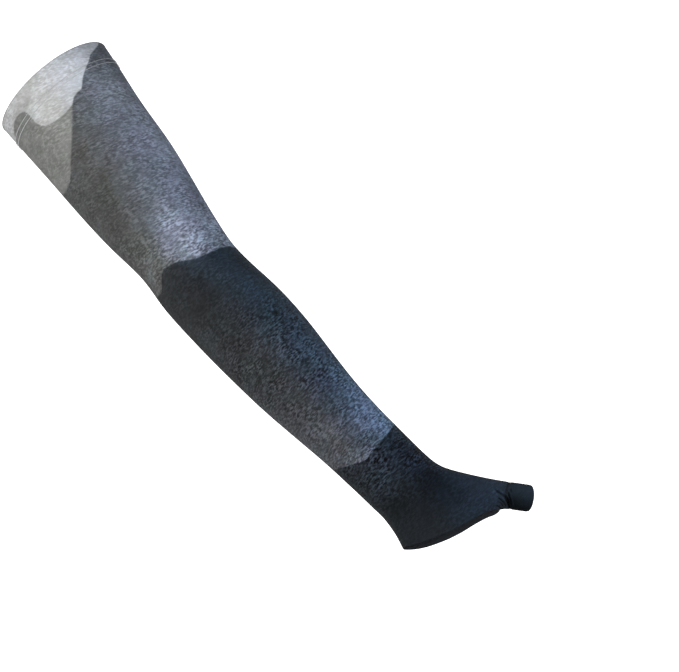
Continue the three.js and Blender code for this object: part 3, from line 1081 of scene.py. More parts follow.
@dataclass(frozen=True)
class PrintedKnit:
    """The printed side of the cloth. The ramps of its flecks run along the arm, in metres. Each patch has a
    bluer and a plainer colour, which differ partly by the print's tint and partly by painted cool light on
    the side of the thumb.

    Attributes:
        groups: the shared node groups.
        wales: loops round the arm.
        course: height of a loop in metres.
        streak: size of the heather's streaks in metres.
        roughness: of the yarn.
        sheen: of the yarn.
        light: dye of the light patch.
        grey: dye of the grey patch.
        upper: dye of the upper arm.
        forearm_top: dye of the forearm's upper end.
        forearm_end: dye of its lower end.
        forearm_fade: where along the arm one goes over into the other.
        cuff: dye of the cuff.
        softness: half the widths of the edges of the grey, the light, the forearm's and the cuff's
            patch, in millimetres.
        cloudiness: how much the clouds shift the dye from one side's to the other's.
        purple: tint of the flecked print in some places.
        olive: its tint in the others.
        cast_share: how far the tint comes in, for a strength of the flecks of 1.
        upper_flecks: ramp of the flecks' strength on the upper arm.
        grey_flecks: their strength on the grey patch.
        light_flecks: their strength on the light patch.
        elbow_flecks: where along the arm they grow below the elbow, and their strength before.
        forearm_flecks: ramp of their strength beyond.
        cuff_flecks: ramp of their strength on the cuff.
        side_flecks: what is left of their strength on the plainer side and on the bluer.
        pale_fleck: tint of the pale flecks.
        dark_fleck: tint of the dark flecks.
        fleck_height: height of the flecks, in parts of a loop's.
        cloud_tone: tones of the thinnest and the thickest cloud.
        painted_crease_tone: heights of the folds, and the tones there: painted shade in the creases and
            painted light on their ridges.
    """

    groups: Groups
    wales: float = 620.0
    course: float = 0.00045
    streak: float = 0.0012
    roughness: float = 0.82
    sheen: float = 0.05
    light: Pair = (dye(184, 194, 214), dye(181, 182, 181))
    grey: Pair = (dye(138, 140, 144), dye(130, 131, 128))
    upper: Pair = (dye(102, 112, 130), dye(84, 85, 84))
    forearm_top: Pair = (dye(36, 49, 62), dye(44, 46, 48))
    forearm_end: Pair = (dye(70, 87, 110), dye(74, 76, 80))
    forearm_fade: tuple[float, float] = (0.27, 0.42)
    cuff: Pair = (dye(24, 33, 44), dye(33, 37, 41))
    softness: tuple[float, float, float, float] = (1.2, 0.7, 0.8, 0.6)
    cloudiness: float = 0.15
    purple: Colour = (1.04, 0.98, 1.01, 1.0)
    olive: Colour = (0.97, 1.01, 0.98, 1.0)
    cast_share: float = 1.4
    upper_flecks: Ramp = (0.13, 0.19, 0.41, 0.56)
    grey_flecks: float = 0.27
    light_flecks: float = 0.2
    elbow_flecks: tuple[float, float, float] = (0.235, 0.29, 0.36)
    forearm_flecks: Ramp = (0.31, 0.36, 0.88, 0.74)
    cuff_flecks: Ramp = (0.425, 0.475, 1.1, 0.27)
    side_flecks: tuple[float, float] = (0.8, 1.06)
    pale_fleck: Colour = (2.6, 2.65, 2.7, 1.0)
    dark_fleck: Colour = (0.06, 0.06, 0.06, 1.0)
    fleck_height: float = 1.5
    cloud_tone: tuple[float, float] = (0.9, 1.1)
    painted_crease_tone: Ramp = (-1.6, 1.0, 0.15, 1.5)

    def patches(self, bench: Bench, along: Socket, coolness: Socket) -> tuple[Socket, dict[Zone, Socket]]:
        """Lays the patches over the dye of the upper arm, one after another.

        Args:
            bench: the material's bench.
            along: length along the arm.
            coolness: share of the bluer colour, partly the print's tint and partly painted cool light.

        Returns:
            The colour, and the patches' masks.
        """
        fade = bench.span(along, *self.forearm_fade)
        forearm = [bench.mix(fade, top, end) for top, end in zip(self.forearm_top, self.forearm_end)]
        zones = (Zone.GREY, Zone.LIGHT, Zone.FOREARM, Zone.CUFF)
        dyes = (self.grey, self.light, forearm, self.cuff)
        colour = bench.mix(coolness, self.upper[1], self.upper[0])
        masks = {}
        for zone, (cool, warm), softness in zip(zones, dyes, self.softness):
            given = {"Under": colour, "Cool": cool, "Warm": warm, "Coolness": coolness}
            inset = bench.attribute(zone.value)
            patch = bench.place(self.groups.patch, Inset=inset, Softness=softness, **given)
            colour, masks[zone] = patch["Colour"], patch["Mask"]
        return colour, masks

    def strength(self, bench: Bench, along: Socket, coolness: Socket, masks: dict[Zone, Socket]) -> Socket:
        """How strong the flecks are, patch by patch.

        Args:
            bench: the material's bench.
            along: length along the arm.
            coolness: share of the bluer colour, partly the print's tint and partly painted cool light.
            masks: the patches' masks.

        Returns:
            The strength.
        """
        forearm = bench.span(along, *self.elbow_flecks, bench.span(along, *self.forearm_flecks))
        cuff = bench.span(along, *self.cuff_flecks)
        strength = bench.span(along, *self.upper_flecks)
        for zone, there in zip(masks, (self.grey_flecks, self.light_flecks, forearm, cuff)):
            strength = bench.between(masks[zone], strength, there)
        return bench.times(strength, bench.span(coolness, 0.0, 1.0, *self.side_flecks))

    def material(self) -> Material:
        """Makes the print: dyed patches over the dark upper arm, heather flecks and knit relief, with painted
        highlights, partly painted cool light on the side of the thumb, and painted shade in the thumb's
        creases.

        Returns:
            The material.
        """
        material, bench, shader = new_material("printed knit", self.roughness, self.sheen)
        place = bench.node("ShaderNodeTexCoord").outputs["Object"]
        along = bench.parts(place)[0]
        heather = bench.place(self.groups.heather, Vector=place, Streak_Size=self.streak)
        pale, dark, cloud = heather["Pale"], heather["Dark"], heather["Cloud"]
        shift = bench.times(bench.less(cloud, 0.5), self.cloudiness)
        # Share of the bluer colour: partly the print's tint, partly painted cool light
        coolness = bench.plus(bench.attribute("coolness"), shift, clamp=True)
        colour, masks = self.patches(bench, along, coolness)
        strength = self.strength(bench, along, coolness, masks)

        cast = bench.tinted(colour, bench.mix(heather["Cast"], self.olive, self.purple))
        colour = bench.mix(bench.times(strength, self.cast_share, clamp=True), colour, cast)
        lighter, darker = bench.tinted(colour, self.pale_fleck), bench.tinted(colour, self.dark_fleck)
        colour = bench.mix(bench.times(pale, strength), colour, lighter)
        colour = bench.mix(bench.times(dark, strength), colour, darker)
        # Tone of the print's clouds, with painted highlights among them
        tone = bench.plus(bench.attribute("print_tone_and_highlights"), 1.0)
        tone = bench.times(tone, bench.span(cloud, 0.0, 1.0, *self.cloud_tone))
        # Painted shade in the thumb's creases and painted light on their ridges
        tone = bench.times(tone, bench.span(bench.attribute("fold"), *self.painted_crease_tone))
        bench.put(shader.inputs["Base Color"], bench.tinted(colour, tone))

        raised = bench.times(bench.less(pale, dark), strength)
        loops = self.groups.loops(bench, self.wales, self.course)
        bench.relief(shader, bench.plus(loops, bench.times(raised, self.fleck_height)), *KNIT_RELIEF)
        return material


@dataclass(frozen=True)
class PlainKnit:
    """Knit of one colour.

    Attributes:
        groups: the shared node groups.
        name: the material's name.
        pale: colour of its paler places.
        deep: colour of its deeper places.
        wales: loops round.
        course: height of a loop in metres.
        streak: size of its flecks in metres.
        roughness: of the yarn.
        sheen: of the yarn.
        level: where it lies between them, to which the attribute "shade" is added: on the thumb stall that
            attribute is painted light and shade.
        cloudiness: how much the clouds add to that.
        fleck: tint of the flecks.
        fleck_share: how strong they are.
    """

    groups: Groups
    name: str
    pale: Colour
    deep: Colour
    wales: float = 620.0
    course: float = 0.00045
    streak: float = 0.0012
    roughness: float = 0.85
    sheen: float = 0.05
    level: float = 0.5
    cloudiness: float = 0.3
    fleck: Colour = (1.35, 1.37, 1.4, 1.0)
    fleck_share: float = 0.6

    def material(self) -> Material:
        """Makes cloudy dye, faint flecks and knit relief.

        Returns:
            The material.
        """
        material, bench, shader = new_material(self.name, self.roughness, self.sheen)
        place = bench.node("ShaderNodeTexCoord").outputs["Object"]
        heather = bench.place(self.groups.heather, Vector=place, Streak_Size=self.streak)
        shade = bench.plus(bench.attribute("shade"), self.level)
        cloud = bench.times(bench.less(heather["Cloud"], 0.5), self.cloudiness)
        colour = bench.mix(bench.plus(cloud, shade, clamp=True), self.deep, self.pale)
        flecks = bench.times(heather["Pale"], self.fleck_share)
        colour = bench.mix(flecks, colour, bench.tinted(colour, self.fleck))
        bench.put(shader.inputs["Base Color"], colour)
        bench.relief(shader, self.groups.loops(bench, self.wales, self.course), *KNIT_RELIEF)
        return material


@dataclass(frozen=True)
class SewingThread:
    """Spun polyester thread.

    Attributes:
        name: the material's name.
        colour: of the thread.
        second_colour: its second colour, which short lengths of thread take a little of, and which the
            attribute "rubbed" mixes in from 0 to 1: on the hem's stitches that is painted light.
        roughness: of the thread.
        lengths: scale of the noise that its tone changes by.
        tone: ramp of that noise's part in the tone.
        fibres: scale of the fibres' noise.
        relief: their strength, and their height in metres.
    """

    name: str
    colour: Colour
    second_colour: Colour
    roughness: float = 0.55
    lengths: float = 900.0
    tone: Ramp = (0.35, 0.65, -0.1, 0.1)
    fibres: float = 5000.0
    relief: tuple[float, float] = (0.4, 0.00005)

    def material(self) -> Material:
        """Makes two tones in short lengths, and more of the second where the attribute "rubbed" says, which
        on the hem's stitches is painted light, and a fine relief of fibres.

        Returns:
            The material.
        """
        material, bench, shader = new_material(self.name, self.roughness, sheen=0.0)
        place = bench.node("ShaderNodeTexCoord").outputs["Object"]
        tone = bench.span(bench.noise(place, self.lengths, detail=2.0), *self.tone)
        # Share of the second colour: painted light on the hem's stitches, plus the short lengths' tones
        share = bench.plus(bench.attribute("paler_share"), tone, clamp=True)
        bench.put(shader.inputs["Base Color"], bench.mix(share, self.colour, self.second_colour))
        bench.relief(shader, bench.noise(place, self.fibres, detail=1.0), *self.relief)
        return material


# The cloth


@dataclass(frozen=True)
class Crease:
    """A pinched fold of the cloth with a soft ridge on either side.

    Attributes:
        line: its course, as points in millimetres.
        depth: how deep it sinks in its middle.
        width: half its width.
        ridge: height of the ridges.
        reach: how far from its middle along X, Y and Z it may act.
        through: how far above and below the line it may act.
        end: share of its length over which it fades at either end.
    """

    line: tuple[tuple[float, float, float], ...]
    depth: float
    width: float
    ridge: float
    reach: float = 12.0
    through: float = 3.0
    end: float = 0.25

    def height(self, points: np.ndarray, normals: np.ndarray) -> np.ndarray:
        """How far the cloth moves out at points.

        It is -depth·exp(-(d/width)²) + ridge·exp(-((d - 2 width)/width)²) at a distance d from the
        line, measured in the cloth.

        Args:
            points: (n, 3) on the cloth.
            normals: directions out of it there.

        Returns:
            The heights.
        """
        height = np.zeros(len(points))
        line = np.array(self.line)
        near = (np.abs(points - line.mean(0)) < self.reach).all(1)
        offset, share = nearest(points[near], line)
        outwards = (offset * normals[near]).sum(1, keepdims=True)
        distance = np.linalg.norm(offset - outwards * normals[near], axis=1)
        fade = ease(share, 0.0, self.end) * ease(1 - share, 0.0, self.end)
        fade = fade * (np.abs(outwards[:, 0]) < self.through)
        sunk = bell(distance, self.depth, self.width)
        raised = bell(distance - 2 * self.width, self.ridge, self.width)
        height[near] = fade * (raised - sunk)
        return height


THUMB_CREASES = (
    Crease(
        ((493.5, 50.5, 7.2), (496.2, 50.4, 6.9), (498.5, 51, 6.1), (501.5, 52, 5.2), (503.7, 52.1, 4.3)),
        depth=0.85, width=0.9, ridge=0.5,
    ),
    Crease(
        ((499, 47.4, 6), (503.3, 48.8, 3.7), (505.6, 49.3, 2.5), (507.8, 49.3, -0.2), (510.1, 49.2, -4.9)),
        depth=1.05, width=0.75, ridge=0.6,
    ),
    Crease(((503.4, 46.8, 3.9), (505.8, 47.2, 1.7), (508.3, 47.5, -2.4)), depth=1.0, width=0.65, ridge=0.4),
    Crease(
        (
            (500.4, 53.4, 5.5), (502.7, 52.9, 4.8), (505.5, 52.6, 3.4), (507.9, 52.2, 1.5),
            (510.8, 51.2, -2.4), (512.5, 50.8, -7),
        ),
        depth=2.0, width=0.85, ridge=0.8,
    ),
    Crease(
        (
            (501.5, 58, 4.5), (502.8, 57.2, 4.2), (505.6, 55.5, 3.5), (507.8, 54.7, 2.3),
            (511, 53.3, -0.9), (513, 52.3, -5.2),
        ),
        depth=1.1, width=0.7, ridge=0.4,
    ),
    Crease(((501.3, 61.2, 3), (503, 60, 3.4), (504.6, 58.8, 3.6)), depth=0.6, width=0.7, ridge=0.3),
)


def folds_at(points: np.ndarray, normals: np.ndarray) -> np.ndarray:
    """How far all the thumb's creases and their ridges move the cloth out at points."""
    return sum(crease.height(points, normals) for crease in THUMB_CREASES)


@dataclass
class ArmTube:
    """The printed tube from the hem to the hand's edge and the thumb seam.

    Attributes:
        arm: the arm's form.
        thumb: the thumb's form.
        wall: thickness of the cloth.
        start: station where the tube meets the hem's fold.
        hem_depth: depth of the hem.
        stitch_rows: stations of the hem's two rows of stitches.
        stitch_sink: how deep they pull the cloth in.
        stitch_spread: how far from them that reaches.
        around: columns of the coarse grid.
        row_counts: its rows to the hem's edge, to the elbow, to the forearm's thickest place and to
            the flare.
        root_columns: columns on either side of the thumb's side that the flare replaces.
        root_rows: rows that it replaces.
        flare_rows: rows from there to the seam.
        root_length: how far up from the hand's edge the flare starts.
        root_spread: half the width of its start, in degrees.
        web_spread: the same at the web.
        ease_off_arm: how stiffly the flare leaves the arm.
        ease_into_thumb: how stiffly it arrives at the thumb.
        seam_lap: how far past the seam's middle it ends.
        closer_to_seam: power by which the flare's rows lie closer towards the seam.
        evening: shares of the way to its neighbours that a point is moved when the flare is evened.
        evening_rounds: how often it is.
        evening_margin: rows and columns beside the window that are evened with it.
        seam_reach: how far from the seam's middle it may act on the cloth.
        seam_steps: points of the seam's line.
    """

    arm: ArmForm
    thumb: ThumbForm
    wall: float = 1.0
    start: float = 1.15
    hem_depth: float = 24.0
    stitch_rows: tuple[float, float] = (18.8, 22.6)
    stitch_sink: float = 0.05
    stitch_spread: float = 0.9
    around: int = 40
    row_counts: tuple[int, int, int, int] = (2, 18, 4, 14)
    root_columns: int = 7
    root_rows: int = 14
    flare_rows: int = 8
    root_length: float = 63.0
    root_spread: float = 63.0
    web_spread: float = 42.0
    ease_off_arm: float = 0.45
    ease_into_thumb: float = 1.1
    seam_lap: float = 0.12
    closer_to_seam: float = 1.5
    evening: tuple[float, float] = (0.5, -0.53)
    evening_rounds: int = 12
    evening_margin: int = 2
    seam_reach: float = 30.0
    seam_steps: int = 121

    def rows(self) -> tuple[np.ndarray, int, int]:
        """Lays out the rows of the coarse grid.

        Returns:
            Their stations, and the numbers of the first and the last row at the flare.
        """
        _, elbow, belly, _, hand = self.arm.stations
        root = self.arm.station_before(self.root_length)
        web = self.arm.station_before(self.arm.web)
        marks = (self.start, self.hem_depth, elbow, belly, root, web)
        counts = (*self.row_counts, self.root_rows)
        parts = [np.linspace(a, b, n + 1)[:-1] for a, b, n in zip(marks, marks[1:], counts)]
        stations = np.concatenate([*parts, [web, hand]])
        top = int(np.searchsorted(stations, root))
        return stations, top, top + self.root_rows

    def column_angle(self, column: np.ndarray, share: np.ndarray) -> np.ndarray:
        """Angles of the grid's columns in radians.

        The window's columns spread evenly over a width that narrows from the root to the web, and
        the other columns over the rest of the turn.

        Args:
            column: numbers of the columns, 0 at the side of the thumb.
            share: 0 at the root and 1 at the web.

        Returns:
            The angles.
        """
        half = np.radians(self.root_spread + (self.web_spread - self.root_spread) * share)
        beyond = np.maximum(0, np.abs(column) - self.root_columns) / (self.around / 2 - self.root_columns)
        within = np.minimum(1, np.abs(column) / self.root_columns)
        return np.sign(column) * (half * within + (math.pi - half) * beyond)

    def window(self, top: int, bottom: int) -> tuple[np.ndarray, np.ndarray]:
        """Goes round the flare's window, from the middle of its upper edge by the back.

        Args:
            top: its first row.
            bottom: its last row.

        Returns:
            The rows and the columns on the way.
        """
        side = self.root_columns
        down, up = np.arange(top, bottom), np.arange(bottom, top, -1)
        rows = [np.full(side, top), down, np.full(2 * side, bottom), up, np.full(side, top)]
        columns = [
            np.arange(side), np.full(len(down), side), np.arange(side, -side, -1),
            np.full(len(up), -side), np.arange(-side, 0),
        ]
        return np.concatenate(rows), np.concatenate(columns)

    def flare(self, station: np.ndarray, angle: np.ndarray) -> np.ndarray:
        """Rows of the flare, from the window's edge to the thumb seam.

        Each of its lines is a cubic: it leaves in the sleeve's own face towards the seam, and arrives
        along the thumb, with weights of its own length.

        Args:
            station: stations round the window.
            angle: angles there.

        Returns:
            (flare_rows, n, 3) points, without the window's edge itself.
        """
        start = self.arm.point(station, angle)
        end = self.thumb.point(round_angles(len(station)), self.seam_lap)
        way = end - start
        length = np.linalg.norm(way, axis=1, keepdims=True)
        leaving = square_to(way, self.arm.normal(station, angle))
        left = 1 - np.arange(1, self.flare_rows + 1) / self.flare_rows
        share = (1 - left**self.closer_to_seam)[:, None, None]
        from_start, leave, from_end, arrive = blend_weights(share)
        return (
            from_start * start
            + leave * length * self.ease_off_arm * leaving
            + from_end * end
            + arrive * length * self.ease_into_thumb * self.thumb.axis
        )

    def evened(self, surface: Surface, chosen: np.ndarray) -> Surface:
        """Takes creases out: points move towards their neighbours' middle, and back a bit more.

        Args:
            surface: the surface.
            chosen: numbers of the points that move.

        Returns:
            The evened surface.
        """
        pairs, _, _ = surface.edges()
        a, b = np.concatenate([pairs, pairs[:, ::-1]]).T
        count = np.bincount(a, minlength=len(surface.points))[:, None]
        points = surface.points.copy()
        for share in self.evening * self.evening_rounds:
            middle = summed(points[b], a, len(points))
            points[chosen] += share * (middle[chosen] / count[chosen] - points[chosen])
        return Surface(points, surface.quads)

    def outer_side(self) -> Surface:
        """Makes the tube's outer side: the grid round its window, and the flare, evened and refined.

        Returns:
            The surface, with its creases.
        """
        stations, top, bottom = self.rows()
        half, side = self.around // 2, self.root_columns
        columns = np.arange(self.around) - half
        in_root = np.clip((np.arange(len(stations)) - top) / (bottom - top), 0, 1)
        angles = self.column_angle(columns[None], in_root[:, None])
        grid = self.arm.point(stations[:, None], angles).reshape(-1, 3)
        quads = grid_quads(len(stations), self.around)
        row, column = np.divmod(np.arange(len(quads)), self.around)
        column = columns[column]
        in_window = (row >= top) & (row < bottom) & (column >= -side) & (column < side)

        edge_rows, edge_columns = self.window(top, bottom)
        flare = self.flare(stations[edge_rows], angles[edge_rows, edge_columns + half]).reshape(-1, 3)
        number = np.arange(len(grid)).reshape(-1, self.around)
        edge = number[edge_rows, edge_columns + half]
        rings = np.concatenate([edge, len(grid) + np.arange(len(flare))])
        flare_quads = rings[grid_quads(self.flare_rows + 1, len(edge))]
        surface = Surface(np.concatenate([grid, flare]), np.concatenate([quads[~in_window], flare_quads]))

        reach = side + self.evening_margin
        near = number[top - self.evening_margin : bottom + 1, half - reach : half + reach + 1].ravel()
        chosen = np.concatenate([near, rings[len(edge) : -len(edge)]])
        surface = self.evened(surface, np.intersect1d(chosen, surface.quads))
        return self.creased(surface.without_loose_points().refined().refined())

    def creased(self, surface: Surface) -> Surface:
        """Sinks the creases at the thumb, the rows of hem stitches and the thumb seam into the cloth.

        Args:
            surface: the smooth surface.

        Returns:
            The surface with them.
        """
        points, normals = surface.points, surface.normals()
        height = folds_at(points, normals)
        along = points[:, 0] - self.arm.slant(points[:, 0], self.across(points))
        for station in self.stitch_rows:
            height = height - bell(along - station, self.stitch_sink, self.stitch_spread)
        seam = self.thumb.point(np.linspace(0, 2 * math.pi, self.seam_steps), 0.0)
        near = np.linalg.norm(points - self.thumb.seam, axis=1) < self.seam_reach
        distance = np.linalg.norm(nearest(points[near], seam)[0], axis=1)
        height[near] -= self.thumb.sunk(distance)
        return Surface(points + height[:, None] * normals, surface.quads)

    def across(self, points: np.ndarray) -> np.ndarray:
        """Places across the arm at points, from -1 to 1 at the side of the thumb."""
        return np.clip(np.cos(np.radians(self.arm.turn(points))), -1, 1)

    def build(self, finishes: list[Material]) -> bpy.types.Object:
        """Makes the tube's piece.

        Args:
            finishes: of its outside, its inside and its cut edges.

        Returns:
            The piece.
        """
        wall = Wall(self.outer_side(), self.wall)
        piece = make_piece("printed_tube", wall.points, [wall.quads], finishes)
        set_faces(piece, wall.faces)
        turn = self.arm.turn(wall.points)
        print_on(piece, self.arm, wall.points[:, 0], turn)
        # The creases' heights, which the print turns into painted shade in the creases and painted light on
        # their ridges
        set_values(piece, "fold", folds_at(wall.points, wall.outwards))
        set_cloth_map(piece, wall.quads, turn, wall.points[:, 0])
        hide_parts("arm_tube")
        return piece


@dataclass
class BicepHem:
    """The turned hem: the fold at the upper edge and the layer inside the tube.

    Attributes:
        arm: the arm's form.
        wall: thickness of the cloth.
        fold: radius of the fold.
        gap: between the two layers.
        depth: of the hem.
        around: columns.
        fold_rows: rows round the fold.
        layer_rows: rows of each side of the turned layer.
    """

    arm: ArmForm
    wall: float = 1.0
    fold: float = 1.15
    gap: float = 0.3
    depth: float = 24.0
    around: int = 160
    fold_rows: int = 13
    layer_rows: int = 24

    def section(self) -> tuple[np.ndarray, np.ndarray, np.ndarray]:
        """The hem's closed section.

        The fold is half a round from the inner face to the outer face, and the turned layer lies a
        wall and a gap below the outer face.

        Returns:
            Places along the arm, depths below the outer face, and places along the cloth, which are
            below 0 past the fold.
        """
        turn = np.linspace(0, math.pi, self.fold_rows)
        there = np.linspace(self.fold, self.depth, self.layer_rows)
        back = there[:0:-1]
        lower, deepest = self.wall + self.gap, 2 * self.wall + self.gap
        along = np.concatenate([self.fold * (1 - np.sin(turn)), there, back])
        round_fold = self.fold * (1 + np.cos(turn))
        deep = np.concatenate([round_fold, np.full(len(there), lower), np.full(len(back), deepest)])
        cloth = np.concatenate([self.fold * (2 * turn / math.pi - 1), -there, -back])
        return along, deep, cloth

    def build(self, finishes: list[Material]) -> bpy.types.Object:
        """Makes the hem's piece.

        Args:
            finishes: of the printed side, which the turned layer shows to the arm, of the other side
                and of the raw edge.

        Returns:
            The piece.
        """
        along, deep, on_cloth = self.section()
        angle = round_angles(self.around)
        outer, normal = self.arm.point(along[:, None], angle), self.arm.normal(along[:, None], angle)
        points = (outer - deep[:, None, None] * normal).reshape(-1, 3)
        quads = grid_quads(len(along), self.around, looped=True)
        piece = make_piece("turned_hem", points, [quads], finishes)
        band = np.repeat(np.arange(len(along)), self.around)
        first, last = self.fold_rows - 1, self.fold_rows + self.layer_rows - 1
        faces = np.full(len(quads), int(Face.OUTSIDE))
        faces[(band >= first) & (band < last)] = Face.INSIDE
        faces[band == last] = Face.CUT
        set_faces(piece, faces)
        turn = self.arm.turn(points)
        cloth_along = np.repeat(on_cloth, self.around)
        print_on(piece, self.arm, cloth_along, turn)
        set_cloth_map(piece, quads, turn, cloth_along)
        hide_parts("bicep_hem")
        return piece


@dataclass
class ThumbStall:
    """The short tube round the thumb, from the seam to its cut end.

    Attributes:
        thumb: the thumb's form.
        wall: thickness of the cloth.
        around: columns.
        rows: rows along the thumb.
        seam_lap: how far before the seam's middle it starts.
        seal: how far from its end a faint pressed line runs.
        seal_sink: how deep it lies.
        seal_spread: half its width.
        end_sink: how far the cut end draws in.
        end_spread: how far from the end that reaches.
        shade: share of the paler colour in its middle, for the stall's painted light and shade.
        shade_side: how much more there is at its palest side: painted light on its upper, outer side and
            painted shade below.
        palest_turn: where that is, in degrees from the outer side towards the back.
        shade_along: how much more there is at the cut end, so that painted shade darkens it by the seam.
        shade_folds: how much more there is for each millimetre that the cloth stands out: painted shade in
            its creases and painted light on their ridges.
    """

    thumb: ThumbForm
    wall: float = 1.0
    around: int = 224
    rows: int = 48
    seam_lap: float = 0.12
    seal: float = 4.4
    seal_sink: float = 0.12
    seal_spread: float = 0.5
    end_sink: float = 0.3
    end_spread: float = 0.9
    shade: float = 0.3
    shade_side: float = 0.5
    palest_turn: float = 20.0
    shade_along: float = 0.35
    shade_folds: float = 0.5

    def outer_side(self) -> Surface:
        """Makes the outer side: the thumb's form, drawn in at the seam and the end, with its line.

        Returns:
            The surface, with its creases.
        """
        along = np.linspace(-self.seam_lap, self.thumb.length, self.rows)
        points = self.thumb.point(round_angles(self.around)[None], along[:, None]).reshape(-1, 3)
        surface = Surface(points, grid_quads(self.rows, self.around))
        along = np.repeat(along, self.around)
        to_end = self.thumb.length - along
        normals = surface.normals()
        height = folds_at(points, normals) - self.thumb.sunk(along)
        height -= bell(to_end - self.seal, self.seal_sink, self.seal_spread)
        height -= bell(to_end, self.end_sink, self.end_spread)
        return Surface(points + height[:, None] * normals, surface.quads)

    def build(self, finishes: list[Material]) -> bpy.types.Object:
        """Makes the stall's piece.

        Args:
            finishes: of its outside, its inside and its cut edges.

        Returns:
            The piece.
        """
        wall = Wall(self.outer_side(), self.wall)
        piece = make_piece("thumb_stall_knit", wall.points, [wall.quads], finishes)
        set_faces(piece, wall.faces)
        angle = np.tile(360.0 * np.arange(self.around) / self.around, 2 * self.rows)
        along = np.tile(np.repeat(np.linspace(0, self.thumb.length, self.rows), self.around), 2)
        set_cloth_map(piece, wall.quads, angle, along)
        # Painted light and shade: paler on the upper, outer side and towards the cut end, darker below, by
        # the seam and in the creases
        shade = self.shade + self.shade_side * np.cos(np.radians(angle - self.palest_turn))
        shade = shade + self.shade_along * along / self.thumb.length
        set_values(piece, "shade", shade + self.shade_folds * folds_at(wall.points, wall.outwards))
        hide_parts("thumb_stall")
        return piece


# The sewing


# Sides of a thread's profile, and rings of a stitch
STITCH_SIDES = 6
STITCH_RINGS = 7


def profile_round(beside: np.ndarray, above: np.ndarray) -> np.ndarray:
    """Directions round a thread's profile.

    Args:
        beside: (n, 3) directions sideways.
        above: (n, 3) directions away from the cloth.

    Returns:
        (n, STITCH_SIDES, 3) directions.
    """
    turn = round_angles(STITCH_SIDES)[None, :, None]
    return np.cos(turn) * beside[:, None] + np.sin(turn) * above[:, None]


def thread_along(path: np.ndarray, normal: np.ndarray, radius: float) -> tuple[np.ndarray, np.ndarray]:
    """A closed ring of thread: a round profile carried along a closed path.

    Args:
        path: (n, 3) points of the thread's middle.
        normal: (n, 3) directions away from the cloth.
        radius: of the thread.

    Returns:
        Points and four-sided faces.
    """
    tangent = unit(np.roll(path, -1, 0) - np.roll(path, 1, 0))
    beside = unit(np.cross(tangent, normal))
    points = path[:, None] + radius * profile_round(beside, np.cross(beside, tangent))
    return points.reshape(-1, 3), grid_quads(len(path), STITCH_SIDES, looped=True)[:, ::-1]


def stitches(
    middle: np.ndarray, way: np.ndarray, normal: np.ndarray, length: float, radius: float
) -> tuple[np.ndarray, np.ndarray, np.ndarray]:
    """Short stitches that come out of the cloth and go back in.

    Each has its profile on rings along t from -1 to 1: its middle runs along the stitch and rises by
    radius·(1 - 1.8t⁴), and its radius narrows to two thirds at the ends.

    Args:
        middle: (n, 3) middles of the stitches on the cloth.
        way: (n, 3) their directions.
        normal: (n, 3) directions out of the cloth.
        length: of a stitch.
        radius: of the thread.

    Returns:
        Points, four-sided faces and end faces.
    """
    t = np.linspace(-1, 1, STITCH_RINGS)[None, :, None]
    centre = middle[:, None] + t * length / 2 * way[:, None] + radius * (1 - 1.8 * t**4) * normal[:, None]
    ring = profile_round(unit(np.cross(way, normal)), normal)
    points = centre[:, :, None] + radius * (1 - t[..., None] ** 4 / 3) * ring[:, None]
    first = STITCH_RINGS * STITCH_SIDES * np.arange(len(middle))[:, None, None]
    quads = grid_quads(STITCH_RINGS, STITCH_SIDES)[None, :, ::-1] + first
    cap = np.arange(STITCH_SIDES)
    caps = np.stack([cap, cap[::-1] + (STITCH_RINGS - 1) * STITCH_SIDES])[None] + first
    return points.reshape(-1, 3), quads.reshape(-1, 4), caps.reshape(-1, STITCH_SIDES)


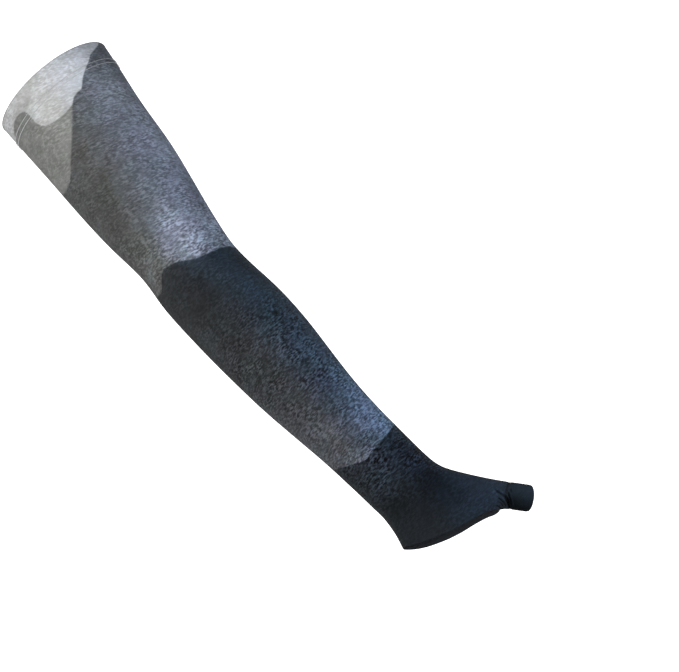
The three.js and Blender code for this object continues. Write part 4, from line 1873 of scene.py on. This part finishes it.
@dataclass
class HemStitching:
    """The hem's two rows of stitches outside and the looper's thread inside.

    Attributes:
        arm: the arm's form.
        rows: stations of the rows.
        pitch: length from one stitch to the next.
        thread: radius of the thread.
        sunk: how deep the rows pull the cloth in.
        inside: depth of the hem's inner face below the outer face.
        length: of a stitch, in parts of the pitch.
        shift: of the second row, in parts of the pitch.
        girth_steps: points that the girth is measured with.
        steps: points of the looper's thread for each stitch.
        swing: how square its waves are.
        lift: of its middle off the inner face, in parts of its radius.
        paler_share: rows of the share that the stitches grow paler by, and the turns where they do: painted
            light, paler on the back and the far side, where less light falls than on the side of the thumb.
        darker: the turns where they grow darker again.
        looper_paler_share: share of the second, paler colour in the looper's thread.
    """

    arm: ArmForm
    rows: tuple[float, float] = (18.8, 22.6)
    pitch: float = 2.6
    thread: float = 0.28
    sunk: float = 0.05
    inside: float = 2.3
    length: float = 0.92
    shift: float = 0.3
    girth_steps: int = 200
    steps: int = 8
    swing: float = 1.35
    lift: float = 0.6
    paler_share: tuple[tuple[float, float, float], ...] = ((0.62, 50.0, 72.0), (0.38, 118.0, 140.0))
    darker: tuple[float, float] = (210.0, 290.0)
    looper_paler_share: float = 0.5

    def count(self) -> int:
        """Stitches in a row, from the girth at the rows."""
        ring = self.arm.point(self.rows[0], np.linspace(0, 2 * math.pi, self.girth_steps))
        return int(round(np.linalg.norm(np.diff(ring, axis=0), axis=1).sum() / self.pitch))

    def outer_rows(self, thread: Material) -> bpy.types.Object:
        """Makes the two rows of stitches.

        Args:
            thread: finish of the thread.

        Returns:
            The piece.
        """
        count = self.count()
        step = math.pi / count
        blocks = []
        for row, station in enumerate(self.rows):
            angle = 2 * math.pi * (np.arange(count) + self.shift * row) / count
            normal = self.arm.normal(station, angle)
            middle = self.arm.point(station, angle) - self.sunk * normal
            way = unit(self.arm.point(station, angle + step) - self.arm.point(station, angle - step))
            blocks.append(stitches(middle, way, normal, self.length * self.pitch, self.thread))
        (first, quads, caps), (second, more_quads, more_caps) = blocks
        points = np.concatenate([first, second])
        faces = [quads, more_quads + len(first), caps, more_caps + len(first)]
        piece = make_piece("hem_stitches", points, faces, [thread])
        turn = self.arm.turn(points)
        # Painted light: paler on the back and the far side, where less light falls, and darker again under
        # the palm
        paler_share = sum(share * ease(turn, start, end) for share, start, end in self.paler_share)
        set_values(piece, "paler_share", paler_share * (1 - ease(turn, *self.darker)))
        return piece

    def looper(self, thread: Material) -> bpy.types.Object:
        """Makes the looper's thread, a wave between the two rows on the inner face.

        Args:
            thread: finish of the thread.

        Returns:
            The piece.
        """
        count = self.count()
        t = np.arange(self.steps * count) / (self.steps * count)
        angle = 2 * math.pi * t
        swing = np.clip(self.swing * np.sin(2 * math.pi * count * t), -1, 1)
        station = np.mean(self.rows) + (self.rows[1] - self.rows[0]) / 2 * swing
        normal = -self.arm.normal(station, angle)
        path = self.arm.point(station, angle) + (self.inside + self.lift * self.thread) * normal
        points, quads = thread_along(path, normal, self.thread)
        piece = make_piece("hem_looper", points, [quads], [thread])
        set_values(piece, "paler_share", np.full(len(points), self.looper_paler_share))
        return piece


@dataclass
class ThumbStitching:
    """Small stitches across the thumb seam.

    Attributes:
        thumb: the thumb's form.
        count: stitches round the seam.
        length: of a stitch.
        thread: radius of the thread.
        sunk: how deep the seam lies.
        lean: how far a stitch leans along the seam, for a length of 1 across it.
    """

    thumb: ThumbForm
    count: int = 44
    length: float = 2.2
    thread: float = 0.15
    sunk: float = 0.62
    lean: float = 0.6

    def build(self, thread: Material) -> bpy.types.Object:
        """Makes the stitches, which lean across the seam.

        Args:
            thread: finish of the thread.

        Returns:
            The piece.
        """
        angle, step = round_angles(self.count), 0.01
        around = unit(self.thumb.point(angle + step, 0.0) - self.thumb.point(angle - step, 0.0))
        normal = square_to(self.thumb.outwards(angle), around)
        middle = self.thumb.point(angle, 0.0) - self.sunk * normal
        way = square_to(unit(self.thumb.axis + self.lean * around), normal)
        points, quads, caps = stitches(middle, way, normal, self.length, self.thread)
        return make_piece("thumb_seam_stitches", points, [quads, caps], [thread])


# The studio


@dataclass(frozen=True)
class SoftBox:
    """A soft light.

    Attributes:
        name: the light's name.
        place: where it hangs, in metres.
        size: of its side, in metres.
        power: in watts.
        colour: of its light.
    """

    name: str
    place: tuple[float, float, float]
    size: float
    power: float
    colour: tuple[float, float, float]

    def hang(self, aim: tuple[float, float, float]) -> None:
        """Hangs the light.

        Args:
            aim: the place that it is turned to, in metres.
        """
        light = bpy.data.lights.new(self.name, "AREA")
        light.shape, light.size, light.energy, light.color = "SQUARE", self.size, self.power, self.colour
        lamp = add_object(self.name, light)
        dx, dy, dz = (a - p for a, p in zip(aim, self.place))
        lamp.location = self.place
        lamp.rotation_euler = (math.atan2(math.hypot(dx, dy), -dz), 0.0, math.atan2(dy, dx) - math.pi / 2)


@dataclass
class Studio:
    """Floor, backdrop light, soft boxes and the camera.

    Attributes:
        floor_height: of the floor, in metres.
        floor_size: of its side, in metres.
        azimuth: of the camera's look, in degrees from +Y.
        elevation: of the camera above the sleeve, in degrees.
        target: what it looks at, in metres.
        distance: from there, in metres.
        lens: in millimetres.
        sensor: its width, in millimetres.
        far: the end of its sight, in metres.
        lights: the soft boxes.
        aim: the place that they are turned to, in metres.
        seen_white: strength of the floor and the backdrop as the camera sees them.
        dim: strength of the backdrop as a light.
        floor_roughness: of the floor's paint.
        floor_paint: its own colour.
    """

    floor_height: float = -0.9
    floor_size: float = 14.0
    azimuth: float = 49.4
    elevation: float = 74.2
    target: tuple[float, float, float] = (0.31753, 0.04002, 0.0)
    distance: float = 2.1
    lens: float = 138.31
    sensor: float = 36.0
    far: float = 50.0
    lights: tuple[SoftBox, ...] = (
        SoftBox("key", (0.35, 1.3, 1.7), 1.2, 15.0, (1.0, 1.0, 1.0)),
        SoftBox("top", (0.4, -0.3, 2.1), 1.6, 20.0, (1.0, 1.0, 1.0)),
        SoftBox("fill", (-0.3, -1.6, 1.1), 1.2, 13.0, (1.0, 1.0, 1.0)),
    )
    aim: tuple[float, float, float] = (0.27, 0.0, 0.0)
    seen_white: float = 1.2
    dim: float = 0.3
    floor_roughness: float = 0.9
    floor_paint: Colour = dye(235, 235, 235)

    def floor(self) -> None:
        """A plain floor that the camera sees as white."""
        half = self.floor_size / 2
        corners = [(-half, -half), (half, -half), (half, half), (-half, half)]
        mesh = bpy.data.meshes.new("floor")
        mesh.from_pydata([(x, y, self.floor_height) for x, y in corners], [], [(0, 1, 2, 3)])
        floor = add_object("floor", mesh)
        material, bench, shader = new_material("floor paint", self.floor_roughness, sheen=0.0)
        bench.put(shader.inputs["Base Color"], self.floor_paint)
        bench.put(shader.inputs["Emission Color"], dye(255, 255, 255))
        seen = bench.node("ShaderNodeLightPath").outputs["Is Camera Ray"]
        bench.put(shader.inputs["Emission Strength"], bench.times(seen, self.seen_white))
        mesh.materials.append(material)

    def backdrop(self) -> None:
        """A pale world that the camera sees as white, and that lights the sleeve dimly."""
        world = bpy.data.worlds.new("backdrop")
        world.use_nodes = True
        bench = Bench(world.node_tree)
        seen = bench.node("ShaderNodeLightPath").outputs["Is Camera Ray"]
        strength = bench.span(seen, 0.0, 1.0, self.dim, self.seen_white)
        light = bench.node("ShaderNodeBackground", {"Color": (1.0, 1.0, 1.0, 1.0), "Strength": strength})
        bench.node("ShaderNodeOutputWorld", {0: light.outputs[0]})
        bpy.context.scene.world = world

    def camera(self) -> None:
        """The camera, level, at the photograph's viewing angle."""
        data = bpy.data.cameras.new("camera")
        data.lens, data.sensor_width, data.sensor_fit = self.lens, self.sensor, "HORIZONTAL"
        data.clip_end = self.far
        camera = add_object("camera", data)
        a, e = math.radians(self.azimuth), math.radians(self.elevation)
        back = (math.sin(a) * math.cos(e), -math.cos(a) * math.cos(e), math.sin(e))
        camera.location = tuple(t + self.distance * b for t, b in zip(self.target, back))
        camera.rotation_euler = (math.pi / 2 - e, 0.0, a)
        bpy.context.scene.camera = camera

    def build(self) -> None:
        """Sets the studio up, with colours shown as they are."""
        bpy.context.scene.view_settings.view_transform = "Standard"
        self.camera()
        self.floor()
        self.backdrop()
        for light in self.lights:
            light.hang(self.aim)


def main() -> None:
    """Builds the studio, the cloth and the sewing in order."""
    Studio().build()
    arm = ArmForm()
    thumb = ThumbForm(arm)
    groups = Groups()
    cloth = PrintedKnit(groups).material()
    reverse = PlainKnit(groups, "reverse knit", dye(72, 76, 82), dye(54, 57, 62)).material()
    # The stall's colours where painted light falls and where painted shade does
    stall_lit_and_shaded = (dye(36, 46, 56), dye(9, 13, 15))
    stall_cloth = PlainKnit(groups, "stall knit", *stall_lit_and_shaded, wales=150.0, level=0.0, sheen=0.0).material()
    cut = PlainKnit(groups, "cut edge", dye(26, 28, 32), dye(18, 20, 23)).material()
    pale_thread = SewingThread("hem thread", dye(152, 155, 162), dye(218, 219, 220)).material()
    dark_thread = SewingThread("seam thread", dye(30, 33, 38), dye(20, 22, 26)).material()

    tube = ArmTube(arm, thumb).build([cloth, reverse, cut])
    hem = BicepHem(arm).build([cloth, reverse, cut])
    stall = ThumbStall(thumb).build([stall_cloth, reverse, cut])
    hem_stitching = HemStitching(arm)
    rows, looper = hem_stitching.outer_rows(pale_thread), hem_stitching.looper(pale_thread)
    seam = ThumbStitching(thumb).build(dark_thread)
    for piece in (tube, hem, stall, rows, looper, seam):
        log.info("%s: %d faces", piece.name, len(piece.data.polygons))


if __name__ == "__main__":
    logging.basicConfig(level=logging.INFO, format="%(name)s: %(message)s")
    main()
